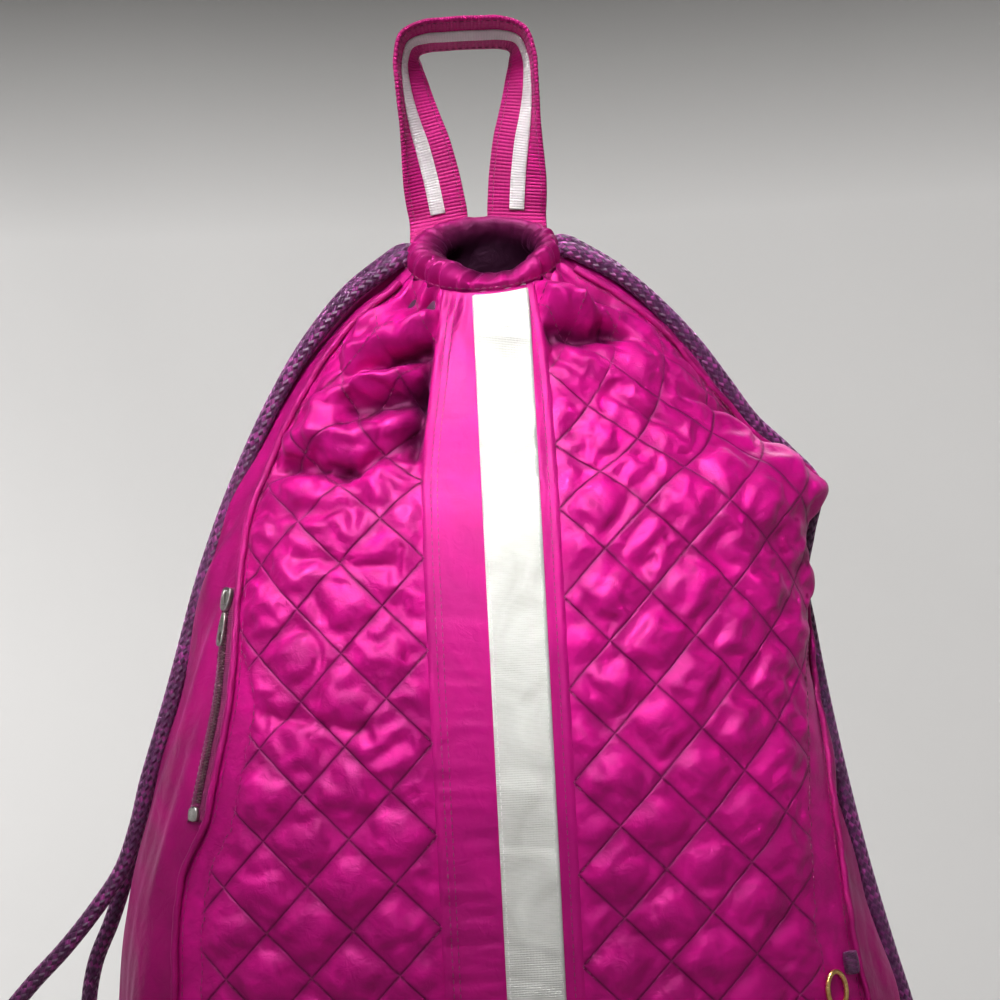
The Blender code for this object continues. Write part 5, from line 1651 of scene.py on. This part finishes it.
def handle():
    """The webbing loop with its stripe, sewn to the top of the back."""
    at, places, wide, face, ends = fine_frames()
    half = STRIPE_WIDTH / 2
    edge = (WEBBING_WIDTH - STRIPE_WIDTH) / 2

    def across(offset, k):
        """Point at a distance from the webbing's middle line, and its inner direction."""
        if abs(offset) <= half:
            turn = face[k, 1]
            point = places[k] + wide[k, 1] * offset
        elif offset > 0:
            point = places[k] + wide[k, 1] * half + wide[k, 0] * (offset - half)
            turn = face[k, 0]
        else:
            point = places[k] - wide[k, 1] * half + wide[k, 2] * (offset + half)
            turn = face[k, 2]
        t = np.clip(abs(abs(offset) - half) / 0.002, 0, 1)
        other = face[k, 0] if offset > 0 else face[k, 2]
        turn = (face[k, 1] + other) * (1 - t) + turn * t if t < 1 else turn
        return point, turn / np.linalg.norm(turn)

    offsets = np.concatenate([np.linspace(half + edge, half, 6), np.linspace(half, -half, 5)[1:-1],
                              np.linspace(-half, -half - edge, 6)])
    loops, maps = [], []
    for k in range(len(at)):
        inner = [across(o, k) for o in offsets]
        top = [p for p, _ in inner]
        low = [p - n * WEBBING_THICK for p, n in inner]
        lip_front = (top[0] + low[0]) / 2 + wide[k, 0] * 0.0007
        lip_back = (top[-1] + low[-1]) / 2 - wide[k, 2] * 0.0007
        loops.append([*top, lip_back, *low[::-1], lip_front])
        row = [*offsets, -half - edge - 0.001, *offsets[::-1], half + edge + 0.001]
        maps.append([(o, at[k]) for o in row])
    place("handle_weave", capped("handle_weave", loops, maps), WEBBING, "webbing", "handle_webbing")
    loops, maps = [], []
    shown = [k for k in range(len(at)) if ends[0] <= at[k] <= ends[1]]
    for k in shown:
        line = [across(o, k) for o in np.linspace(0.47 * STRIPE_WIDTH, -0.47 * STRIPE_WIDTH, 5)]
        top = [p + n * (STRIPE_THICK + 0.0001) for p, n in line]
        low = [p + n * 0.00002 for p, n in line]
        loops.append([*top, *low[::-1]])
        row = [*np.linspace(0.47, -0.47, 5), *np.linspace(-0.47, 0.47, 5)]
        maps.append([(o * STRIPE_WIDTH, at[k]) for o in row])
    mesh = capped("handle_stripe_weave", loops, maps)
    place("handle_stripe_weave", mesh, STRIPE, "webbing_stripe", "handle_stripe")

    def off_face(offset, k, rise):
        point, turn = across(offset, k)
        return point + turn * rise

    lines, above, outer = [], 0.0002, -(WEBBING_THICK + 0.0002)
    for offset in (half + edge - 0.0017, -half - edge + 0.0017):
        lines.append([off_face(offset, k, above) for k in shown])
        lines.append([off_face(offset, k, outer) for k in range(4, len(at) - 4)])
    for rows in (range(3, 22), range(len(at) - 22, len(at) - 3)):
        for offset in (-0.006, 0.006):
            lines.append([off_face(offset, k, outer) for k in rows])
        for k in (rows[0], rows[-1]):
            lines.append([off_face(o, k, outer) for o in np.linspace(-0.010, 0.010, 9)])
    stitched("handle_stitches", lines, THREAD, "webbing", 0.0030, 0.0023, 0.0005)


handle()


ZIP_AWAY = -(PIPING_THICK / 2 + ZIP_TAPE_WIDTH / 2 + ZIP_CLEAR)
TEETH_LOW = 2 * SEAM_GAP + ZIP_TAPE_THICK
TEETH_HIGH = TEETH_LOW + ZIP_TEETH_THICK
TAPE_ACROSS = np.array([-0.5, -0.32, -0.12, 0.12, 0.32, 0.5]) * ZIP_TAPE_WIDTH


def zip_line(drop, length, count):
    """Places and outward normals along the zip, from one drop, at six places across its tape."""
    start = float(np.interp(drop, DROPS, DOWN_SHARE))
    rows = []
    for k in range(count + 1):
        down = start + k / count * length / CLOTH_LENGTH
        seam = seam_lengths(drop_of(down))["piping_left"]
        rows.append(on_body(down, seam + ZIP_AWAY + TAPE_ACROSS))
    return np.array([r[0] for r in rows]), np.array([r[1] for r in rows])


def zip_pieces():
    middle, normal = zip_line(ZIP_DROP, ZIP_LENGTH, 80)
    rise = SEAM_GAP + ZIP_TAPE_THICK * np.array([0.45, 0.85, 1.0, 1.0, 0.85, 0.45])
    top = middle + normal * rise[None, :, None]
    low = middle + normal * (SEAM_GAP * 0.4)
    grid = np.concatenate([top, low[:, ::-1]], axis=1)
    run = np.linspace(0, ZIP_LENGTH, len(grid))
    uv = np.stack([np.repeat(np.concatenate([TAPE_ACROSS, TAPE_ACROSS[::-1]])[None], len(grid), 0),
                   np.repeat(run[:, None], 12, 1)], axis=-1)
    mesh = cloth_mesh("zip_tape_weave", grid, uv, closed=True)
    cap_ends(mesh, len(grid), 12)
    place("zip_tape_weave", mesh, TAPE, "zip_tape", "zip_tape")
    drop = ZIP_DROP + (SLIDER_LENGTH + SEAM_GAP) / BODY_HEIGHT
    length = ZIP_LENGTH - SLIDER_LENGTH - STOP_LENGTH - 4 * SEAM_GAP
    middle, normal = zip_line(drop, length, 62)
    bm = bmesh.new()
    for k in range(len(middle) - 1):
        centre = (middle[k, 2] + middle[k, 3]) / 2
        out = (normal[k, 2] + normal[k, 3]) / 2
        side = middle[k, 5] - middle[k, 0]
        side /= np.linalg.norm(side)
        down = np.cross(side, out)
        for hand in (-1, 1):
            at = centre + (down * 0.00036 * hand) + side * hand * 0.00058 + out * (TEETH_LOW + 0.00045)
            turn = Matrix([side, down, out]).transposed().to_4x4()
            made = bmesh.ops.create_uvsphere(bm, u_segments=8, v_segments=5, radius=0.5)["verts"]
            scale = Matrix.Diagonal((0.0024, 0.00082, 0.0011, 1.0))
            bmesh.ops.transform(bm, matrix=Matrix.Translation(Vector(at)) @ turn @ scale, verts=made)
    mesh = bpy.data.meshes.new("zip_teeth_row")
    keep(bm, mesh)
    place("zip_teeth_row", mesh, TEETH, "zip_metal", "zip_teeth")
    lines = []
    tape, out = zip_line(ZIP_DROP, ZIP_LENGTH, 60)
    rise = SEAM_GAP + ZIP_TAPE_THICK * 0.75
    for k, inner in ((0, 2), (5, 3)):
        lines.append(list(tape[:, k] * 0.86 + tape[:, inner] * 0.14 + out[:, k] * rise))
    stitched("zip_stitches", lines, THREAD, "plain_nylon", 0.0028, 0.0021, 0.0004)


def cap_ends(mesh, rows, cols):
    """Closes the first and last ring of a tube made of rings."""
    bm = bmesh.new()
    bm.from_mesh(mesh)
    bm.verts.ensure_lookup_table()
    for row in (0, rows - 1):
        bm.faces.new([bm.verts[row * cols + k] for k in range(cols)])
    face_outwards(bm)
    keep(bm, mesh)


def beside(seam, drop, away):
    """Place and directions across, down and out at a distance along the cloth from a seam."""
    down = float(np.interp(drop, DROPS, DOWN_SHARE))
    length = seam_lengths(drop)[seam] + away
    middle, normal = on_body(down, [length])
    right, _ = on_body(down, [length + 0.002])
    across = right[0] - middle[0]
    across -= normal[0] * np.dot(across, normal[0])
    across /= np.linalg.norm(across)
    return middle[0], across, np.cross(across, normal[0]), normal[0]


def plate(name, frame_at, outline_points, low, high, node_name, rounding, holes=()):
    """A cast plate with rounded edges: an outline across and down the cloth, raised off it."""
    place_at, across, down, out = frame_at
    bm = bmesh.new()
    loop = [bm.verts.new((x, y, 0.0)) for x, y in outline_points]
    edges = [bm.edges.new((loop[k], loop[(k + 1) % len(loop)])) for k in range(len(loop))]
    for hole in holes:
        inner = [bm.verts.new((x, y, 0.0)) for x, y in hole]
        edges += [bm.edges.new((inner[k], inner[(k + 1) % len(inner)])) for k in range(len(inner))]
    filled = bmesh.ops.triangle_fill(bm, edges=edges, use_beauty=True)["geom"]
    faces = [g for g in filled if isinstance(g, bmesh.types.BMFace)]
    raised = bmesh.ops.extrude_face_region(bm, geom=faces)["geom"]
    upper = [g for g in raised if isinstance(g, bmesh.types.BMVert)]
    bmesh.ops.translate(bm, vec=(0, 0, high - low), verts=upper)
    bmesh.ops.recalc_face_normals(bm, faces=bm.faces)
    sharp = [e for e in bm.edges if len(e.link_faces) == 2 and e.calc_face_angle(0) > 1.0]
    bmesh.ops.bevel(bm, geom=sharp, offset=rounding, segments=3, affect="EDGES", profile=0.5)
    turn = Matrix([across, down, out]).transposed().to_4x4()
    spot = Matrix.Translation(Vector(place_at + out * low))
    bmesh.ops.transform(bm, matrix=spot @ turn, verts=bm.verts)
    face_outwards(bm)
    mesh = bpy.data.meshes.new(name)
    keep(bm, mesh)
    mesh.set_sharp_from_angle(angle=math.radians(40))
    return place(name, mesh, METAL, "zip_metal", node_name)


def oval(wide, tall, power, count, dx=0.0, dy=0.0):
    """Points round an oval, squarer as its power grows."""
    t = np.linspace(0, 2 * math.pi, count, endpoint=False)
    c, s = np.cos(t), np.sin(t)
    x = np.sign(c) * np.abs(c) ** (2 / power) * wide / 2 + dx
    y = np.sign(s) * np.abs(s) ** (2 / power) * tall / 2 + dy
    return list(zip(x, y, strict=True))


# The slider's bridge: length down the zip and height as a share of the slider's.
BRIDGE = [(-0.0034, 0.60), (-0.0032, 0.80), (-0.0020, 0.93), (0.0004, 0.94), (0.0020, 0.80), (0.0023, 0.60)]


def zip_metal():
    """The slider with its bridge and pull, and the stop at the zip's lower end."""
    frame_at = beside("piping_left", ZIP_DROP + 0.5 * SLIDER_LENGTH / BODY_HEIGHT, ZIP_AWAY)
    body = oval(SLIDER_WIDTH * 0.86, SLIDER_LENGTH, 3.2, 28)
    body = [(x * (1 - 0.18 * (y / (SLIDER_LENGTH / 2))), y) for x, y in body]
    high = TEETH_LOW + 0.66 * SLIDER_THICK
    plate("zip_slider_body", frame_at, body, TEETH_LOW, high, "zip_slider", 0.0005)
    place_at, across, down, out = frame_at
    bridge = [place_at + down * y + out * (TEETH_LOW + SLIDER_THICK * h) for y, h in BRIDGE]
    bar = tube_mesh("zip_slider_bridge", smooth_line(bridge, 0.0005), 0.0012, 10)
    place("zip_slider_bridge", bar, METAL, "zip_metal")
    pull_drop = ZIP_DROP + (SLIDER_LENGTH + SEAM_GAP + 0.5 * PULL_LENGTH) / BODY_HEIGHT
    frame_at = beside("piping_left", pull_drop, ZIP_AWAY)
    shape = oval(PULL_WIDTH * 0.84, PULL_LENGTH * 0.99, 3.5, 32)
    shape = [(x * (1 + 0.20 * y / (PULL_LENGTH / 2)), y) for x, y in shape]
    hole = oval(PULL_WIDTH * 0.36, PULL_LENGTH * 0.30, 2.4, 16, 0.0, PULL_LENGTH * 0.22)
    low = TEETH_HIGH + SEAM_GAP
    plate("zip_pull_tag", frame_at, shape, low, low + PULL_THICK, "zip_pull", 0.00028, [hole])
    stop_drop = ZIP_DROP + (ZIP_LENGTH - 0.5 * STOP_LENGTH - SEAM_GAP) / BODY_HEIGHT
    frame_at = beside("piping_left", stop_drop, ZIP_AWAY)
    cap = oval(STOP_WIDTH, STOP_LENGTH, 2.8, 24)
    plate("zip_stop_cap", frame_at, cap, TEETH_LOW, TEETH_LOW + 0.7 * SLIDER_THICK, "zip_stop", 0.0007)


zip_pieces()
zip_metal()


def whipping():
    """Thread wound round the end of the link's loop, over a core inside it."""
    place_at, across, down, out = beside("piping_right", WHIPPING_DROP, -WHIPPING_AWAY)
    place_at = place_at + out * (WHIPPING_THICK / 2 + SEAM_GAP)
    core, points = [], []
    turns, wire = 9.0, WHIPPING_LENGTH / 10.0
    for t in np.linspace(0, turns, int(turns * 20) + 1):
        a = 2 * math.pi * t
        swell = 1 - 0.16 * abs(2 * t / turns - 1) ** 2
        radius = (WHIPPING_THICK / 2 - wire * 0.5) * swell
        along = (t / turns - 0.5) * (WHIPPING_LENGTH - wire)
        points.append(place_at + down * along + (across * math.cos(a) + out * math.sin(a)) * radius)
    mesh = tube_mesh("whipping_thread", points, wire * 1.08, 8)
    place("whipping_thread", mesh, CORD, "whipping", "cord_whipping")
    for y in np.linspace(-0.46, 0.46, 15):
        core.append(place_at + down * y * WHIPPING_LENGTH)
    mesh = tube_mesh("whipping_core", core, WHIPPING_THICK * 0.80, 16)
    place("whipping_core", mesh, CORD, "whipping")


def link():
    place_at, across, down, out = beside("piping_right", LINK_DROP, -LINK_AWAY)
    place_at = place_at + out * (LINK_WIRE / 2 + SEAM_GAP + LINK_OFF)
    loops, count, sides = [], 72, 14
    for t in np.linspace(0, 2 * math.pi, count, endpoint=False):
        wide, tall = (LINK_WIDTH - LINK_WIRE) / 2, (LINK_LENGTH - LINK_WIRE) / 2
        middle = place_at + across * wide * math.cos(t) + down * tall * math.sin(t)
        away = across * tall * math.cos(t) + down * wide * math.sin(t)
        away /= np.linalg.norm(away)
        turn = np.linspace(0, 2 * math.pi, sides, endpoint=False)
        loops.append(middle + (np.outer(np.cos(turn), away) + np.outer(np.sin(turn), out)) * LINK_WIRE / 2)
    loops.append(loops[0])
    grid = np.array(loops)
    uv = np.stack(np.meshgrid(np.linspace(0, 1, sides), np.linspace(0, 0.05, count + 1)), axis=-1)
    mesh = cloth_mesh("gold_link_ring", grid, uv, closed=True)
    close_seams(mesh)
    place("gold_link_ring", mesh, GOLD, "gold", "gold_link")


whipping()
link()


def corner_tab(name, side):
    """Webbing folded over the cord ends and sewn down, with its layers showing at the sides."""
    centre, ahead, out, up = tab_frame(side)
    wide, tall, thick = TAB_WIDTH * 0.97, TAB_HEIGHT * 0.97, TAB_THICK * 0.97
    rows = []
    layer = thick / 4
    path = []
    # One webbing runs up the back, over the top and down the front, then turns under.
    path += [(-thick / 2 + layer / 2, -tall / 2 + layer), (-thick / 2 + layer / 2, 0.0)]
    path += [(-thick / 2 + layer / 2, tall / 2 - thick / 2)]
    for t in np.linspace(0, math.pi, 12)[1:-1]:
        r = thick / 2 - layer / 2
        path.append((-r * math.cos(t), tall / 2 - thick / 2 + r * math.sin(t)))
    path += [(thick / 2 - layer / 2, tall / 2 - thick / 2), (thick / 2 - layer / 2, 0.0)]
    path += [(thick / 2 - layer / 2, -tall / 2 + layer)]
    path = smooth_line([np.array([a, b, 0.0]) for a, b in path], 0.0011)
    run = length_run(path)
    slope = unit_rows(np.gradient(path, axis=0))
    uv = []
    across = np.array([-0.5, -0.46, -0.25, 0.0, 0.25, 0.46, 0.5])
    swell = np.array([0.55, 1.0, 1.0, 1.0, 1.0, 1.0, 0.55])
    for p, t, r in zip(path, slope, run, strict=True):
        n = np.array([-t[1], t[0]])
        middle = centre + out * p[0] + up * p[1]
        offset = out * n[0] + up * n[1]
        soft = 0.0002 * math.sin(r / 0.0021)
        edge = list(zip(across, swell, strict=True))
        top = [middle + ahead * wide * a + offset * (layer / 2 * s + soft) for a, s in edge]
        low = [middle + ahead * wide * a - offset * (layer / 2 * s) for a, s in edge]
        rows.append([*top, *low[::-1]])
        uv.append([(a * wide, r) for a in across] + [(a * wide, r) for a in across[::-1]])
    grid, uv = np.array(rows), np.array(uv)
    mesh = cloth_mesh(name + "_fold", grid, uv, closed=True)
    cap_ends(mesh, len(grid), grid.shape[1])
    place(name + "_fold", mesh, WEBBING, "webbing", name)
    fill = [centre + up * (tall * h - 0.001) for h in np.linspace(-0.42, 0.34, 12)]
    loops = []
    for p in fill:
        t = np.linspace(0, 2 * math.pi, 28, endpoint=False)
        c, s = np.cos(t), np.sin(t)
        x = np.sign(c) * np.abs(c) ** 0.35 * wide * 0.47
        y = np.sign(s) * np.abs(s) ** 0.5 * (thick / 2 - layer * 0.9)
        loops.append(p + np.outer(x, ahead) + np.outer(y, out))
    grid = np.array(loops)
    turn = np.linspace(0, 0.06, 28)
    uv = np.stack(np.meshgrid(turn, np.linspace(0, tall, len(loops))), axis=-1)
    mesh = cloth_mesh(name + "_core", grid, uv, closed=True)
    cap_ends(mesh, len(grid), 28)
    place(name + "_core", mesh, WEBBING, "webbing")
    lines = []
    off = thick / 2 + 0.0004
    corners = [(-0.40, -0.38), (0.40, -0.38), (0.40, 0.16), (-0.40, 0.16), (-0.40, -0.38), (0.40, 0.16)]
    for (a, b), (c, d) in zip(corners, corners[1:], strict=False):
        line = []
        for t in np.linspace(0, 1, 12):
            line.append(centre + out * off + ahead * wide * (a + (c - a) * t) + up * tall * (b + (d - b) * t))
        lines.append(line)
    stitched(name + "_stitches", lines, THREAD, "webbing", 0.0024, 0.0018, 0.0005)


corner_tab("corner_tab_left", -1)
corner_tab("corner_tab_right", 1)


# Painted shade darkens the room's wall between two heights, and its floor lies well below the hanging bag.
WALL_SHADE_HEIGHTS = (0.22, 0.62, 0.0, 1.0)
FLOOR_Z = -1.25
ROOM_RADIUS = 2.7


def stage_finish(name, light, dark, size):
    made, tree, shader = finish_base(name, 0.85)
    where = tree.nodes.new("ShaderNodeTexCoord")
    soft = group_node(tree, CRUMPLE, Size=size, Fine=0.2)
    tree.links.new(where.outputs["Object"], soft.inputs["Place"])
    parts = tree.nodes.new("ShaderNodeSeparateXYZ")
    tree.links.new(where.outputs["Object"], parts.inputs[0])
    # Painted shade: the wall turns from pale to dark grey towards the top.
    high = ramp(tree, parts.outputs["Z"], *WALL_SHADE_HEIGHTS)
    tone = maths(tree, "ADD", maths(tree, "MULTIPLY", ramp(tree, soft.outputs["Tone"], 0.3, 0.7), 0.06), high)
    tree.links.new(two_tone(tree, tone, light, dark), shader.inputs["Base Color"])
    tree.links.new(bump(tree, soft.outputs["Height"], 0.0006, 0.3), shader.inputs["Normal"])
    shader.inputs["Specular IOR Level"].default_value = 0.15
    return made


def room():
    """A round studio: a pale floor that turns up into a plain wall all round."""
    turn_up = 0.6
    profile = [(r, FLOOR_Z) for r in np.linspace(0.02, ROOM_RADIUS - turn_up, 8)]
    for t in np.linspace(0, math.pi / 2, 14)[1:]:
        profile.append((ROOM_RADIUS - turn_up + turn_up * math.sin(t), FLOOR_Z + turn_up * (1 - math.cos(t))))
    profile += [(ROOM_RADIUS, z) for z in np.linspace(-0.4, 3.0, 9)]
    angle = np.linspace(0, 2 * math.pi, 96, endpoint=False)
    points = np.array([[(r * math.cos(a), r * math.sin(a), z) for a in angle] for r, z in profile])
    mesh = cloth_mesh("studio_room", points, points[..., :2].copy(), closed=True)
    if mesh.polygons[0].normal.z < 0:
        mesh.flip_normals()
    mesh.materials.append(stage_finish("matt pale wall", (0.72, 0.71, 0.70), (0.21, 0.206, 0.20), 1.2))
    made = bpy.data.objects.new("studio_room", mesh)
    bpy.context.scene.collection.objects.link(made)


room()


def lamp(name, place_at, aim, size, power, spread=180.0):
    """A soft lamp aimed at one point, out of the camera's sight."""
    data = bpy.data.lights.new(name, "AREA")
    data.shape = "RECTANGLE"
    data.size, data.size_y = size
    data.energy = power
    data.spread = math.radians(spread)
    made = bpy.data.objects.new(name, data)
    bpy.context.scene.collection.objects.link(made)
    made.location = place_at
    made.visible_camera = False
    away = Vector(place_at) - Vector(aim)
    made.rotation_euler = away.to_track_quat("Z", "Y").to_euler()


lamp("key_softbox", (-0.14, -0.38, 0.50), (0.0, -0.04, -0.16), (0.46, 0.22), 6.5)
lamp("upper_beam", (-0.30, -1.25, 0.62), (0.02, -0.08, -0.17), (0.55, 0.10), 0.55, spread=18.0)
lamp("fill_front", (0.5, -2.3, 0.3), (0.0, 0.0, -0.35), (1.4, 1.2), 1.0)
lamp("fill_left", (-1.6, -0.5, 0.2), (0.0, 0.0, -0.3), (0.6, 1.2), 0.8)
lamp("fill_right", (1.6, -0.5, 0.2), (0.0, 0.0, -0.3), (0.5, 1.2), 0.4)
lamp("back_softbox", (0.5, 1.5, 0.9), (0.0, 0.0, -0.25), (0.9, 0.7), 11.0)
lamp("wall_left", (-1.3, 0.8, -0.3), (-0.3, 2.7, -0.3), (1.2, 1.8), 31.0)
lamp("wall_right", (1.3, 0.8, 0.0), (0.3, 2.7, 0.1), (1.2, 1.6), 9.0)
lamp("wall_front", (0.0, -1.3, 1.3), (0.0, -2.7, -0.2), (1.6, 0.8), 11.0)

world = bpy.data.worlds.new("soft room")
world.use_nodes = True
world.node_tree.nodes["Background"].inputs["Color"].default_value = (0.92, 0.95, 1.0, 1.0)
world.node_tree.nodes["Background"].inputs["Strength"].default_value = 0.05
bpy.context.scene.world = world
bpy.context.scene.view_settings.view_transform = "Standard"
bpy.context.scene.view_settings.look = "None"
